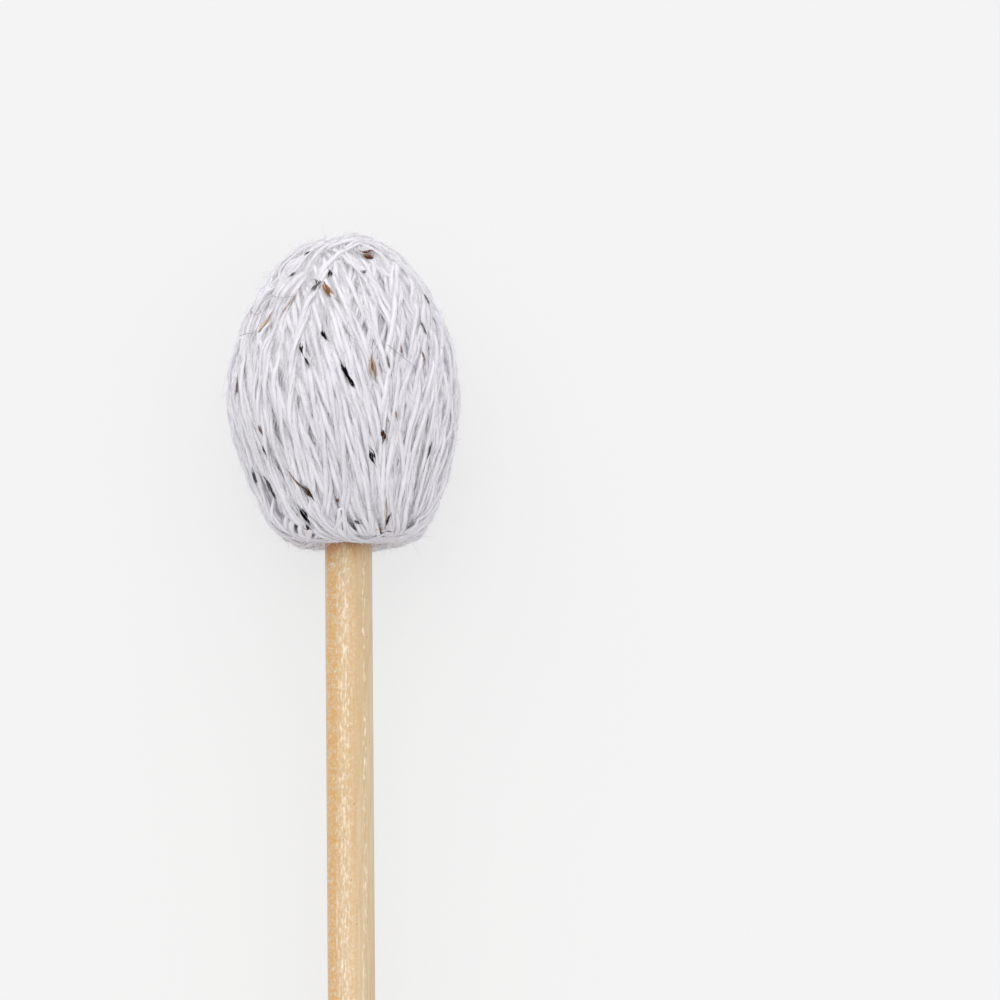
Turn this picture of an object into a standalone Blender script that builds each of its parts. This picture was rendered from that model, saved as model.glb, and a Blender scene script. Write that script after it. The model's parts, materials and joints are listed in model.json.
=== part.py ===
"""Marimba mallet: a birch handle, and a head of rubber, latex and wound wool yarn.

Metres, +Z up. The mallet lies on the plane z = 0 as on a table, butt towards -Y and head towards +Y.
Its pieces are modelled upright about their own axis, butt at z = 0, under one empty that lays them down.
"""

import math

import bmesh
import bpy
import numpy as np

# Handle
HANDLE_LENGTH = 0.4050
HANDLE_DIAMETER = 0.0080
BUTT_EDGE_RADIUS = 0.0015
TIP_CHAMFER = 0.0008
TIP_SETBACK = 0.0016

# Core, latex sleeve and inner layers of yarn
CORE_DIAMETER = 0.0270
CORE_LENGTH = 0.0310
CORE_MOUTH_WIDTH = 0.0010
PARTING_RIDGE_HEIGHT = 0.0002
PARTING_RIDGE_WIDTH = 0.0014
SLEEVE_WALL = 0.0014
SLEEVE_OPENING_DIAMETER = 0.0150
UNDER_WRAP_SIDE = 0.0023
UNDER_WRAP_CROWN = 0.0052
UNDER_WRAP_NECK = 0.0028

# Outer winding
YARN_DIAMETER = 0.0013
STRAND_GAP = 0.0005
LAYER_GAP = 0.0006
MOST_LOOPS = 24
BANDS = 2
LOOSEST_STRANDS = 1.25
STRAND_LEAN = math.radians(10.0)
BAND_AZIMUTH = math.radians(40.0)

# Finishing stitches
CROWN_STITCHES = 7
CROWN_STITCH_INNER_RADIUS = 0.0042
CROWN_STITCH_OUTER_RADIUS = 0.0062
NECK_STITCHES = 8
NECK_STITCH_LENGTH = 0.0012

# Fits
PIECE_GAP = 0.0003
WINDING_SEAT = 0.0006
STITCH_SEAT = 0.0004
REST_FLAT_SHARE = 0.1

# Fineness
HANDLE_STEPS = 48
CORE_STEPS = 32
WRAP_STEPS = 48
EDGE_POINTS = 6
EGG_POINTS = 16
YARN_POINTS_PER_LOOP = 24
YARN_END_CROWDING = 0.35
BEND_LENGTH_SHARE = 0.4
TURN_POINTS = 6
MERGE_DISTANCE = 1e-6
LEVELLING_ROUNDS = 12

# Sizes that follow
handle_radius = HANDLE_DIAMETER / 2
yarn_radius = YARN_DIAMETER / 2
bore_radius = handle_radius + PIECE_GAP
core_radius = CORE_DIAMETER / 2
core_half = CORE_LENGTH / 2
head_centre = HANDLE_LENGTH + TIP_SETBACK - core_half
sleeve_radius = core_radius + PARTING_RIDGE_HEIGHT + PIECE_GAP
sleeve_half = core_half + PIECE_GAP
cavity_radius = sleeve_radius + SLEEVE_WALL + PIECE_GAP
cavity_half = sleeve_half + SLEEVE_WALL + PIECE_GAP
wrap_radius = cavity_radius + UNDER_WRAP_SIDE
wrap_crown = cavity_half + UNDER_WRAP_CROWN
wrap_neck = cavity_half + UNDER_WRAP_NECK
winding_radius = wrap_radius + WINDING_SEAT + yarn_radius
winding_crown = wrap_crown + WINDING_SEAT + yarn_radius
winding_neck = wrap_neck + WINDING_SEAT + yarn_radius
strand_pitch = YARN_DIAMETER + STRAND_GAP
layer_rise = YARN_DIAMETER + LAYER_GAP
widest_band = math.tau * winding_radius / (2 * BANDS)
band_loops = min(MOST_LOOPS // BANDS, 2 * int(widest_band / (2 * LOOSEST_STRANDS * strand_pitch)))
nearest_strand = bore_radius + yarn_radius
stitch_rise = (YARN_DIAMETER + STITCH_SEAT) / layer_rise


def clear_scene():
    for old in list(bpy.data.objects):
        bpy.data.objects.remove(old)


def new_collection(name):
    made = bpy.data.collections.new(name)
    bpy.context.scene.collection.children.link(made)
    return made


def new_material(name, colour, roughness):
    made = bpy.data.materials.new(name)
    made.use_nodes = True
    shader = made.node_tree.nodes["Principled BSDF"]
    shader.inputs["Base Color"].default_value = (*colour, 1.0)
    shader.inputs["Roughness"].default_value = roughness
    shader.inputs["Metallic"].default_value = 0.0
    return made


def placed(name, data, material, collection, height):
    """An object of this mesh or curve on the mallet's axis, at this height above the butt."""
    made = bpy.data.objects.new(name, data)
    made.location.z = height
    data.materials.append(material)
    collection.objects.link(made)
    return made


def turned(name, profile, steps, material, collection, height=0.0):
    """A profile of (radius, height) points turned about the axis. It runs down the outer side."""
    mesh = bpy.data.meshes.new(name)
    points = [(radius, 0.0, z) for radius, z in profile]
    mesh.from_pydata(points, [(i, i + 1) for i in range(len(points) - 1)], [])
    made = placed(name, mesh, material, collection, height)
    screw = made.modifiers.new("turn", "SCREW")
    screw.steps = steps
    screw.render_steps = steps
    screw.use_merge_vertices = True
    screw.merge_threshold = MERGE_DISTANCE
    return made


def yarn(name, points, material, collection):
    """One unbroken strand of yarn along these points, which are measured from the head's centre."""
    print(f"{name}: least gap to itself {least_gap(points) * 1000:.2f} mm")
    curve = bpy.data.curves.new(name, "CURVE")
    curve.dimensions = "3D"
    curve.bevel_depth = yarn_radius
    curve.bevel_resolution = 1
    curve.use_fill_caps = True
    spline = curve.splines.new("POLY")
    spline.points.add(len(points) - 1)
    spline.points.foreach_set("co", np.column_stack([points, np.ones(len(points))]).ravel())
    return placed(name, curve, material, collection, head_centre)


def made_mesh(curve_object, collection):
    """The same strand as a mesh, with its caps welded on."""
    bpy.context.view_layer.update()
    graph = bpy.context.evaluated_depsgraph_get()
    mesh = bpy.data.meshes.new_from_object(curve_object.evaluated_get(graph))
    body = bmesh.new()
    body.from_mesh(mesh)
    bmesh.ops.remove_doubles(body, verts=body.verts, dist=MERGE_DISTANCE)
    bmesh.ops.recalc_face_normals(body, faces=body.faces)
    body.to_mesh(mesh)
    body.free()
    mesh.shade_smooth()
    name = curve_object.name
    place = curve_object.matrix_world.copy()
    bpy.data.objects.remove(curve_object)
    made = bpy.data.objects.new(name, mesh)
    made.matrix_world = place
    collection.objects.link(made)
    return made


def arc(centre, radius, start, end, count):
    """Points of an arc in the profile's plane, from one angle to another in degrees."""
    angles = np.radians(np.linspace(start, end, count))
    return [(centre[0] + radius * math.cos(a), centre[1] + radius * math.sin(a)) for a in angles]


def egg(radius, upper, lower, start_radius, end_radius):
    """An egg's outline from start_radius at the crown, down its side, to end_radius at the neck."""
    start = math.asin(start_radius / radius)
    end = math.pi - math.asin(end_radius / radius)
    angles = np.linspace(start, end, EGG_POINTS)
    return [(radius * math.sin(a), (upper if a < math.pi / 2 else lower) * math.cos(a)) for a in angles]


def make_handle(material, collection):
    """A straight dowel: a flat butt with a sanded round edge, and a small chamfer on the end in the core."""
    edge_centre = (handle_radius - BUTT_EDGE_RADIUS, BUTT_EDGE_RADIUS)
    tip = [(0.0, HANDLE_LENGTH), (handle_radius - TIP_CHAMFER, HANDLE_LENGTH)]
    side = [(handle_radius, HANDLE_LENGTH - TIP_CHAMFER)]
    butt = arc(edge_centre, BUTT_EDGE_RADIUS, 0.0, -90.0, EDGE_POINTS) + [(0.0, 0.0)]
    return turned("handle", tip + side + butt, HANDLE_STEPS, material, collection)


def make_core(material, collection):
    """Moulded rubber, bored right through, with the mould's parting ridge round its middle."""
    mouth_radius = bore_radius + CORE_MOUTH_WIDTH
    ridge_edge = core_radius * math.sqrt(1.0 - (PARTING_RIDGE_WIDTH / CORE_LENGTH) ** 2)
    start = math.asin(mouth_radius / core_radius)
    end = math.asin(ridge_edge / core_radius)
    angles = np.linspace(start, end, EGG_POINTS // 2)
    upper = [(core_radius * math.sin(a), core_half * math.cos(a)) for a in angles]
    lower = [(radius, -z) for radius, z in reversed(upper)]
    ridge = [(core_radius + PARTING_RIDGE_HEIGHT, 0.0)]
    bore_end = upper[0][1] - CORE_MOUTH_WIDTH
    bore = [(bore_radius, -bore_end), (bore_radius, bore_end)]
    profile = upper + ridge + lower + bore
    return turned("rubber_core", profile + profile[:1], CORE_STEPS, material, collection, head_centre)


def make_sleeve(material, collection):
    """A latex tube stretched over the core and drawn in at both ends."""
    opening = SLEEVE_OPENING_DIAMETER / 2
    profile = egg(sleeve_radius, sleeve_half, sleeve_half, opening, opening)
    sleeve = turned("latex_sleeve", profile, CORE_STEPS, material, collection, head_centre)
    wall = sleeve.modifiers.new("wall", "SOLIDIFY")
    wall.thickness = SLEEVE_WALL
    wall.offset = 1.0
    return sleeve


def make_under_wrap(material, collection):
    """The inner layers of yarn, laid flat: closed over the crown, open where the handle comes out."""
    outer = egg(wrap_radius, wrap_crown, wrap_neck, 0.0, bore_radius)
    inner = egg(cavity_radius, cavity_half, cavity_half, 0.0, bore_radius)
    return turned("under_wrap", outer + inner[::-1], WRAP_STEPS, material, collection, head_centre)


def smooth_step(x):
    x = np.clip(x, 0.0, 1.0)
    return x * x * (3.0 - 2.0 * x)


def on_winding(x, y, below, layer):
    """The point over plan position x, y on the egg that the first layer of strands follows.

    It is moved outwards along the axis by whole or part layers, each as thick across as on the flat, and
    turned about the axis in proportion to its height, which makes the strands lean. below is true on the
    neck's half.
    """
    half = np.where(below, -winding_neck, winding_crown)
    share = np.sqrt(np.maximum(np.finfo(float).eps, 1.0 - (x * x + y * y) / winding_radius**2))
    steepness = np.hypot(x, y) * half / winding_radius**2
    z = half * share + np.sign(half) * layer * layer_rise * np.hypot(share, steepness) / share
    plan = (x + 1j * y) * np.exp(1j * math.tan(STRAND_LEAN) / winding_radius * half * share)
    return np.stack([plan.real, plan.imag, z], axis=-1)


def band_points(band, turns):
    """Points of one band of loops; turns counts its loops from where the first one crosses the crown.

    A loop goes over the crown, down one side, past the handle and up the other side, and steps one strand
    sideways on the way. On the sides the strands stand evenly round the head. Over the crown a band's strands
    run side by side, band on band. At the neck they part round the handle, each band in two layers.
    """
    angle = math.tau * turns
    below = np.cos(angle) < 0.0
    place = turns - band_loops / 2
    fan_angle = place * math.pi / (BANDS * band_loops)
    ground = winding_radius * np.abs(np.sin(angle))
    crowded = strand_pitch * band_loops * BANDS / math.pi
    room = winding_radius - crowded

    loop = np.floor(turns) + 0.5 - band_loops / 2
    rank = np.floor(np.abs(loop))
    neck_offset = np.sign(loop) * (nearest_strand + rank * strand_pitch / 2)
    neck_share = smooth_step((crowded - ground) / crowded)
    offset = place * strand_pitch
    offset = np.where(below, offset + (neck_offset - offset) * neck_share, offset)

    side_by_side = smooth_step(0.5 + (crowded - ground) / (BEND_LENGTH_SHARE * winding_radius))
    straight = np.sqrt(1.0 - (offset / winding_radius) ** 2)
    along = np.cos(fan_angle) + (straight - np.cos(fan_angle)) * side_by_side
    across = ground * np.sin(fan_angle)
    u = winding_radius * np.sin(angle) * along
    v = across + (offset - across) * side_by_side

    climb = smooth_step((winding_radius - np.hypot(u, v)) / room)
    layer = np.where(below, BANDS * band + rank % 2, band) * climb
    plan = (u + 1j * v) * np.exp(1j * (BAND_AZIMUTH + band * math.pi / BANDS))
    return on_winding(plan.real, plan.imag, below, layer)


def winding_path():
    """The first band forwards and the second backwards, joined on the side where the two meet."""
    loop_end = band_loops * YARN_POINTS_PER_LOOP
    quarter = YARN_POINTS_PER_LOOP // 4
    steps = [np.arange(0, loop_end - quarter), np.arange(loop_end + quarter, -1, -1)]
    bands = []
    for band, step in enumerate(steps):
        even = step / YARN_POINTS_PER_LOOP
        closer_at_ends = even - YARN_END_CROWDING * np.sin(2 * math.tau * even) / (2 * math.tau)
        bands.append(band_points(band, closer_at_ends))
    return np.concatenate(bands)


def stitch_path(stitches, inner_reach, outer_reach, below, layer):
    """A ring of stitches round the axis: straight runs joined by round turns, left open in one place."""
    half_step = math.pi / (2 * stitches)
    turns = []
    for turn in range(2 * stitches - 1):
        outer = turn % 2 == 0
        reach = outer_reach if outer else inner_reach
        sweep = math.pi / 2 + (half_step if outer else -half_step)
        angles = np.linspace(-sweep, sweep, TURN_POINTS)
        bend = reach * math.sin(half_step) * np.exp(1j * angles)
        turns.append((reach + (bend if outer else -bend.conj())) * np.exp(1j * (2 * turn + 1) * half_step))
    plan = np.concatenate(turns)
    return on_winding(plan.real, plan.imag, np.full(len(plan), below), np.full(len(plan), float(layer)))


def crown_stitch_path():
    """The ring that holds the strands together over the crown."""
    layer = BANDS - 1 + stitch_rise
    return stitch_path(CROWN_STITCHES, CROWN_STITCH_INNER_RADIUS, CROWN_STITCH_OUTER_RADIUS, False, layer)


def neck_stitch_path():
    """The same ring at the neck, close round the handle."""
    inner_reach = nearest_strand / (1.0 - math.sin(math.pi / (2 * NECK_STITCHES)))
    layer = 2 * BANDS - 1 + stitch_rise
    return stitch_path(NECK_STITCHES, inner_reach, inner_reach + NECK_STITCH_LENGTH, True, layer)


def least_gap(points):
    """The smallest gap that a strand along these points leaves to itself, past two diameters along it."""
    start = points[:-1]
    run = points[1:] - start
    along = np.concatenate([[0.0], np.cumsum(np.linalg.norm(run, axis=1))])
    gaps = []
    for i in range(len(run)):
        apart = along[:-1] - along[i + 1] > 2 * YARN_DIAMETER
        if not apart.any():
            break
        other_run = run[apart]
        between = start[i] - start[apart]
        a = run[i] @ run[i]
        b = other_run @ run[i]
        c = (other_run**2).sum(axis=1)
        d = between @ run[i]
        e = (between * other_run).sum(axis=1)
        s = np.clip((b * e - c * d) / np.maximum(a * c - b * b, np.finfo(float).tiny), 0.0, 1.0)
        t = np.clip((b * s + e) / c, 0.0, 1.0)
        s = np.clip((b * t - d) / a, 0.0, 1.0)
        gaps.append(np.linalg.norm(between + s[:, None] * run[i] - t[:, None] * other_run, axis=1).min())
    return min(gaps) - YARN_DIAMETER


def standing_points(made):
    """The evaluated vertices of an object, in world space."""
    bpy.context.view_layer.update()
    graph = bpy.context.evaluated_depsgraph_get()
    evaluated = made.evaluated_get(graph)
    mesh = evaluated.to_mesh()
    points = np.empty(3 * len(mesh.vertices), np.float32)
    mesh.vertices.foreach_get("co", points)
    evaluated.to_mesh_clear()
    place = np.array(evaluated.matrix_world)
    return points.reshape(-1, 3) @ place[:3, :3].T + place[:3, 3]


def lay_down(rig, handle, winding, pieces):
    """Turns the mallet onto its side, butt and head both on z = 0, and centres its box there."""
    on_butt = standing_points(handle)
    on_head = standing_points(winding)
    flat = REST_FLAT_SHARE * YARN_DIAMETER
    tilt = 0.0
    for _ in range(LEVELLING_ROUNDS):
        lowest = [(p[:, 2] * math.sin(tilt) - p[:, 1] * math.cos(tilt)).min() for p in (on_butt, on_head)]
        tilt += (lowest[0] - lowest[1] - flat) / head_centre
    rig.rotation_euler.x = tilt - math.pi / 2
    box = np.concatenate([standing_points(piece) for piece in pieces])
    low = box.min(axis=0)
    high = box.max(axis=0)
    rig.location.x = -(low[0] + high[0]) / 2
    rig.location.y = -(low[1] + high[1]) / 2
    rig.location.z = -standing_points(handle)[:, 2].min()
    bpy.context.view_layer.update()


def flatten_underside(winding, collection):
    """Cuts the lowest strands level with z = 0, where the head rests."""
    side = 4 * winding_radius
    bpy.ops.mesh.primitive_cube_add(size=side)
    block = bpy.context.object
    block.name = "floor_cutter"
    middle = standing_points(winding).mean(axis=0)
    block.location = (middle[0], middle[1], -side / 2)
    block.hide_render = True
    block.display_type = "WIRE"
    for found_in in tuple(block.users_collection):
        found_in.objects.unlink(block)
    collection.objects.link(block)
    cut = winding.modifiers.new("rest flat", "BOOLEAN")
    cut.object = block
    cut.operation = "DIFFERENCE"


def main():
    clear_scene()
    mallet = new_collection("marimba_mallet")
    cutters = new_collection("cutters")
    birch = new_material("birch", (0.68, 0.50, 0.31), 0.45)
    rubber = new_material("moulded_rubber", (0.05, 0.05, 0.05), 0.8)
    latex = new_material("latex", (0.62, 0.48, 0.28), 0.6)
    inner_wool = new_material("inner_wool", (0.62, 0.60, 0.63), 0.9)
    wool = new_material("white_wool", (0.72, 0.70, 0.74), 0.9)

    handle = make_handle(birch, mallet)
    core = make_core(rubber, mallet)
    sleeve = make_sleeve(latex, mallet)
    under_wrap = make_under_wrap(inner_wool, mallet)
    winding = made_mesh(yarn("yarn_winding", winding_path(), wool, mallet), mallet)
    crown_stitch = yarn("crown_stitch", crown_stitch_path(), wool, mallet)
    neck_stitch = yarn("neck_stitch", neck_stitch_path(), wool, mallet)

    pieces = [handle, core, sleeve, under_wrap, winding, crown_stitch, neck_stitch]
    rig = bpy.data.objects.new("lying_mallet", None)
    mallet.objects.link(rig)
    for piece in pieces:
        piece.parent = rig
    lay_down(rig, handle, winding, pieces)
    flatten_underside(winding, cutters)


main()
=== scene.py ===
import json
import math

import bpy
import numpy as np
from mathutils import Matrix, Vector


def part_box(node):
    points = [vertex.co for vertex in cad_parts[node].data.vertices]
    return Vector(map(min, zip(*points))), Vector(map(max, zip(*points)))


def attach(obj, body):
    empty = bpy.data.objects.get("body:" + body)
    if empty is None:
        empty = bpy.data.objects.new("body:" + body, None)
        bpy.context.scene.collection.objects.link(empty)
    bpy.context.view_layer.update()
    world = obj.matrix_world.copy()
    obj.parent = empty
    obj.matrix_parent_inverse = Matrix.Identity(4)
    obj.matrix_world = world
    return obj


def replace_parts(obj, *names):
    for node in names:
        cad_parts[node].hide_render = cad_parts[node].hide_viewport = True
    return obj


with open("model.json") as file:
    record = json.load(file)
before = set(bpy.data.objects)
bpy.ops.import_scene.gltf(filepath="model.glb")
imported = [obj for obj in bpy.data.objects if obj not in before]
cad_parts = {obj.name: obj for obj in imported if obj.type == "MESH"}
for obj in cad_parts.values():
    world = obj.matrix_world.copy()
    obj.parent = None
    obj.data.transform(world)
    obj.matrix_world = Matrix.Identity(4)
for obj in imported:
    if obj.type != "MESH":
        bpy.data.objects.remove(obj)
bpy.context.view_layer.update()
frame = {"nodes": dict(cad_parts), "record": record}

# Head coordinates are in millimetres from the head's centre: x to the right, y along the handle
# towards the crown, z up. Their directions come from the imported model, which lies a little tilted.
handleAxis = -np.array(frame["record"]["mounts"][0]["axis"])
handleAxis /= np.linalg.norm(handleAxis)
headTilt = math.atan2(handleAxis[2], handleAxis[1])
headTurn = np.array([[1, 0, 0],
                     [0, math.cos(headTilt), -math.sin(headTilt)],
                     [0, math.sin(headTilt), math.cos(headTilt)]])
headCentre = np.mean([np.array(corner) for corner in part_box("rubber_core")], axis=0)
buttCentre = np.array(frame["record"]["mounts"][0]["pos_m"])
floorClearance = 0.00002   # m


# Small helpers

def linear(hexCode):
    # sRGB hex to linear red, green, blue, alpha
    parts = [int(hexCode[i:i + 2], 16) / 255 for i in (1, 3, 5)]
    return tuple(c / 12.92 if c <= 0.04045 else ((c + 0.055) / 1.055) ** 2.4 for c in parts) + (1.0,)


def addNode(tree, kind, settings, links=None):
    # Settings go to the node's own options where it has them, otherwise to its sockets.
    node = tree.nodes.new(kind)
    for name, value in settings.items():
        if name == "stops":
            ramp = node.color_ramp
            while len(ramp.elements) < len(value):
                ramp.elements.new(0.5)
            for element, (place, colour) in zip(ramp.elements, value):
                element.position = place
                element.color = linear(colour)
        elif isinstance(name, str) and hasattr(node, name):
            setattr(node, name, value)
        else:
            node.inputs[name].default_value = value
    for name, source in (links or {}).items():
        tree.links.new(source, node.inputs[name])
    return node


def newMaterial(name):
    # A material whose tree holds only its output, and that tree
    material = bpy.data.materials.new(name)
    material.use_nodes = True
    material.node_tree.nodes.clear()
    return material, material.node_tree


def finishMaterial(tree, shader):
    output = tree.nodes.new("ShaderNodeOutputMaterial")
    tree.links.new(shader.outputs[0], output.inputs["Surface"])


def toWorld(points):
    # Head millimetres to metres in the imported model's frame, pressed level where they meet the floor
    placed = headCentre + (points @ headTurn.T) / 1000
    placed[..., 2] = np.maximum(placed[..., 2], floorClearance)
    return placed


def newPiece(name, points, faceSets, material, corners=None, tone=None, dye=None):
    # Puts whole arrays into a mesh: points, faces as arrays of one size each, texture places for every
    # corner in millimetres, a tone for every point and a dye colour for every point.
    mesh = bpy.data.meshes.new(name)
    order = np.concatenate([faces.ravel() for faces in faceSets]).astype(np.int32)
    sizes = np.concatenate([np.full(len(faces), faces.shape[1]) for faces in faceSets])
    starts = np.concatenate([[0], np.cumsum(sizes)[:-1]]).astype(np.int32)
    mesh.vertices.add(len(points))
    mesh.vertices.foreach_set("co", toWorld(points).astype(np.float32).ravel())
    mesh.loops.add(len(order))
    mesh.loops.foreach_set("vertex_index", order)
    mesh.polygons.add(len(sizes))
    mesh.polygons.foreach_set("loop_start", starts)
    mesh.update(calc_edges=True)
    if corners is not None:
        places = np.concatenate([faces.reshape(-1, 2) for faces in corners]).astype(np.float32)
        mesh.uv_layers.new(name="alongAndAround").data.foreach_set("uv", places.ravel())
    if tone is not None:
        layer = mesh.attributes.new("tone", "FLOAT", "POINT")
        layer.data.foreach_set("value", tone.astype(np.float32))
    if dye is not None:
        layer = mesh.attributes.new("dye", "FLOAT_COLOR", "POINT")
        layer.data.foreach_set("color", dye.astype(np.float32).ravel())
    mesh.shade_smooth()
    mesh.validate()
    mesh.materials.append(material)
    piece = bpy.data.objects.new(name, mesh)
    bpy.context.scene.collection.objects.link(piece)
    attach(piece, "root")
    print(f"{name}: {sum(faces.shape[0] * (faces.shape[1] - 2) for faces in faceSets)} triangles")
    return piece


def unit(vectors):
    return vectors / np.linalg.norm(vectors, axis=-1, keepdims=True)


def between(limits, share):
    # The value that lies this share of the way from the first limit to the second
    return limits[0] + (limits[1] - limits[0]) * share


def shareBetween(values, low, high):
    # 0 up to the low value, 1 from the high one, and even steps between them
    return np.clip((values - low) / (high - low), 0, 1)


def easedNoise(knots, places):
    # Random knots one unit apart, joined by smooth steps; places are in the same units
    whole = np.floor(places).astype(int)
    part = places - whole
    part = part * part * (3 - 2 * part)
    first = knots[whole % len(knots)]
    return first + (knots[(whole + 1) % len(knots)] - first) * part


def chance(random, count, along, length):
    # A chance value along a strand, from -0.5 to 0.5, that changes about once in this length, both in mm. It
    # runs through this many random knots and then through the same ones again.
    return easedNoise(random.random(count) - 0.5, along / length)


# The head's outline

outline = {
    "radius": 19.25,        # mm, where the head is widest
    "crown": 27.4,          # mm, from the centre to the top of the head
    "neck": 26.0,           # mm, from the centre to the end round the handle
    "crownTaper": 0.04,     # how much slimmer than an ellipse the crown's shoulders are
    "neckBluntness": 0.85,  # how far the neck end is squared off
    "dish": 1.9,            # mm that the neck end is drawn in round the handle
    "dishRadius": 8.0,
    "neckSlope": 0.22,      # by how much the neck end slants, lower on the upper side of the mallet
    "slopeRadius": 9.0,
    "slopeDepth": 12.0,     # mm from the centre at which the slant is whole
    "slopeRounding": 6.0,   # square mm, rounds the slant's start
    "heightsOfLean": (-26, -18, -8, 0, 12, 24),     # mm from the centre, and how far to the right the body
    "lean": (0.1, 0.2, -0.35, -0.75, -0.5, -0.4),   # of yarn stands there, because no winding is even
    "leanFrom": (4, 12),    # mm from the axis between which it comes in on the neck's side
}

halfCount = 720   # steps from the crown to the middle, and as many from there to the neck
polarAngles = np.linspace(0, math.pi, 2 * halfCount + 1)


def outlineAt(polar):
    # The ellipse R sin a, H cos a. Its radius loses taper times sin^2 2a above the middle and gains bluntness
    # times cos^6 a below it, and a bell-shaped dish draws the end in round the handle.
    cosine = np.cos(polar)
    upper = cosine > 0
    taper = -outline["crownTaper"] * np.sin(2 * polar) ** 2
    change = np.where(upper, taper, outline["neckBluntness"] * cosine ** 6)
    radius = outline["radius"] * np.sin(polar) * (1 + change)
    height = np.where(upper, outline["crown"], outline["neck"]) * cosine
    drawnIn = outline["dish"] * np.exp(-(radius / outline["dishRadius"]) ** 2) * np.clip(-2 * cosine, 0, 1)
    return radius, height + drawnIn


outlineRadius, outlineHeight = outlineAt(polarAngles)
outlineSteps = np.hypot(np.diff(outlineRadius), np.diff(outlineHeight))
fromCrown = np.concatenate([[0], np.cumsum(outlineSteps)])   # mm along the outline from the crown
slopes = unit(np.stack([np.gradient(outlineRadius), np.gradient(outlineHeight)], axis=-1))


def onHead(polar, azimuth, lift=0.0):
    # The outline turned about the handle's axis and lifted along its normal. Azimuth 0 is up and 90 degrees
    # is to the right. Then the body moves aside by its height's lean, and the neck end slants.
    radius, height = outlineAt(polar)
    alongRadius = np.interp(polar, polarAngles, slopes[:, 0])
    alongHeight = np.interp(polar, polarAngles, slopes[:, 1])
    sine, cosine = np.sin(azimuth), np.cos(azimuth)
    normal = unit(np.stack([-alongHeight * sine, alongRadius, -alongHeight * cosine], axis=-1))
    aside = np.interp(height, outline["heightsOfLean"], outline["lean"])
    aside = aside * np.where(height < 0, shareBetween(radius, *outline["leanFrom"]), 1)
    slant = outline["neckSlope"] * np.exp(-(radius / outline["slopeRadius"]) ** 2)
    slant = slant * np.clip(-height / outline["slopeDepth"], 0, 1)
    upwards = radius * cosine
    risen = (upwards + np.sqrt(upwards ** 2 + outline["slopeRounding"])) / 2
    point = np.stack([radius * sine + aside, height - slant * (risen - 1), upwards], axis=-1)
    down = unit(np.stack([alongRadius * sine, alongHeight, alongRadius * cosine], axis=-1))
    return point + normal * np.asarray(lift)[..., None], normal, down


# Laying the yarn

yarn = {
    "width": 1.62,              # mm across the two plies
    "pressedThickness": 0.62,   # mm that one strand adds where strands cross
    "twist": 20.0,              # mm for one full turn of the plies, a slack twist
    "twistDrift": 2.0,          # radians between the most and the least that chance adds to the twist
    "twistDriftLength": 17.0,   # mm over which it does so
    "plyWidth": 0.90,
    "plyFlatness": 0.64,        # a ply's thickness over its width, under the pressure of the winding
    "plyRise": 0.7,             # how far the plies turn up and down, against how far they turn aside
    "plyReach": 0.4,            # share by which chance moves the plies apart and together
    "plySlub": 0.38,            # share by which chance makes a ply thick and thin
    "slubLengths": (6.0, 1.9),  # mm over which chance does both, the second half as strongly
    "endTaper": 0.3,            # a ply's width at its two ends, against its width elsewhere
    "sectionStep": 0.70,        # mm between the mesh's sections
    "plySides": 6,
    "nearestHandle": 4.75,      # mm from the axis to the nearest strand's middle
    "sway": 0.9,                # how much steeper than a cosine a loop runs in its middle
    "loopLength": 135,          # mm, about
    "wander": 0.34,             # mm that a strand strays sideways
    "wanderLength": 12.0,
    "wanderFrom": (-0.98, -0.63),   # cosines of a loop's angle between which its straying comes in
    "straggle": 3.0,            # degrees that a loop's place strays round the head
    "stiffness": 0.28,          # how fast a strand may drop after a crossing, per mm
    "tautReach": 3.4,           # mm to each side within which a high place holds a strand up
    "smoothing": 0.7,           # mm to each side of a strand's running mean
    "crowding": 6.0,            # mm of heap over which further strands press half as thick
    "deepest": 1.0,             # mm under the outline at which the lowest strands of a thick heap are drawn
    "deepestAtNeck": 2.6,
    "neckFrom": (90, 140),      # polar angles in degrees between which the one depth goes over to the other
    "highest": 0.25,            # mm over the outline that no strand passes
    "bridge": 0.16,             # mm that a strand keeps off the heap beside a crossing
    "seed": 11,
}

# Each group is one strand, wound loop by loop. Start and end say where the front halves of its first and last
# loop stand, in degrees to the right of the middle. Crown and neck give how far aside a loop passes the axis,
# in mm: their sum makes the front half lean to the right going down, and a negative sum to the left.
windings = [
    {"name": "winding_first", "start": 92, "end": 182, "loops": 23, "crown": (0.5, 7.5), "neck": (0, 3.0)},
    {"name": "winding_second", "start": 182, "end": 272, "loops": 23, "crown": (0.5, 7.5), "neck": (0, 2.5)},
    {"name": "winding_third", "start": -92, "end": 8, "loops": 24, "crown": (1.5, 9.5), "neck": (0, 3.0)},
    {"name": "winding_fourth", "start": -6, "end": 92, "loops": 24, "crown": (1.0, 9.0), "neck": (0, 2.5)},
    {"name": "winding_fifth", "start": 2, "end": 98, "loops": 12, "crown": (-15.0, -9.0), "neck": (0, 2.0)},
    {"name": "winding_sixth", "start": -44, "end": 24, "loops": 8, "crown": (5.0, 10.0), "neck": (0, 2.0)},
    {"name": "winding_seventh", "start": -4, "end": 50, "loops": 6, "crown": (-12.0, -6.0), "neck": (0, 2.0)},
    {"name": "winding_eighth", "start": 108, "end": 200, "loops": 9, "crown": (-14, -8), "neck": (0, 2.0)},
    {"name": "winding_last", "start": -100, "end": -40, "loops": 10, "crown": (-8.0, -2.0), "neck": (0, 2.0)},
]

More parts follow.
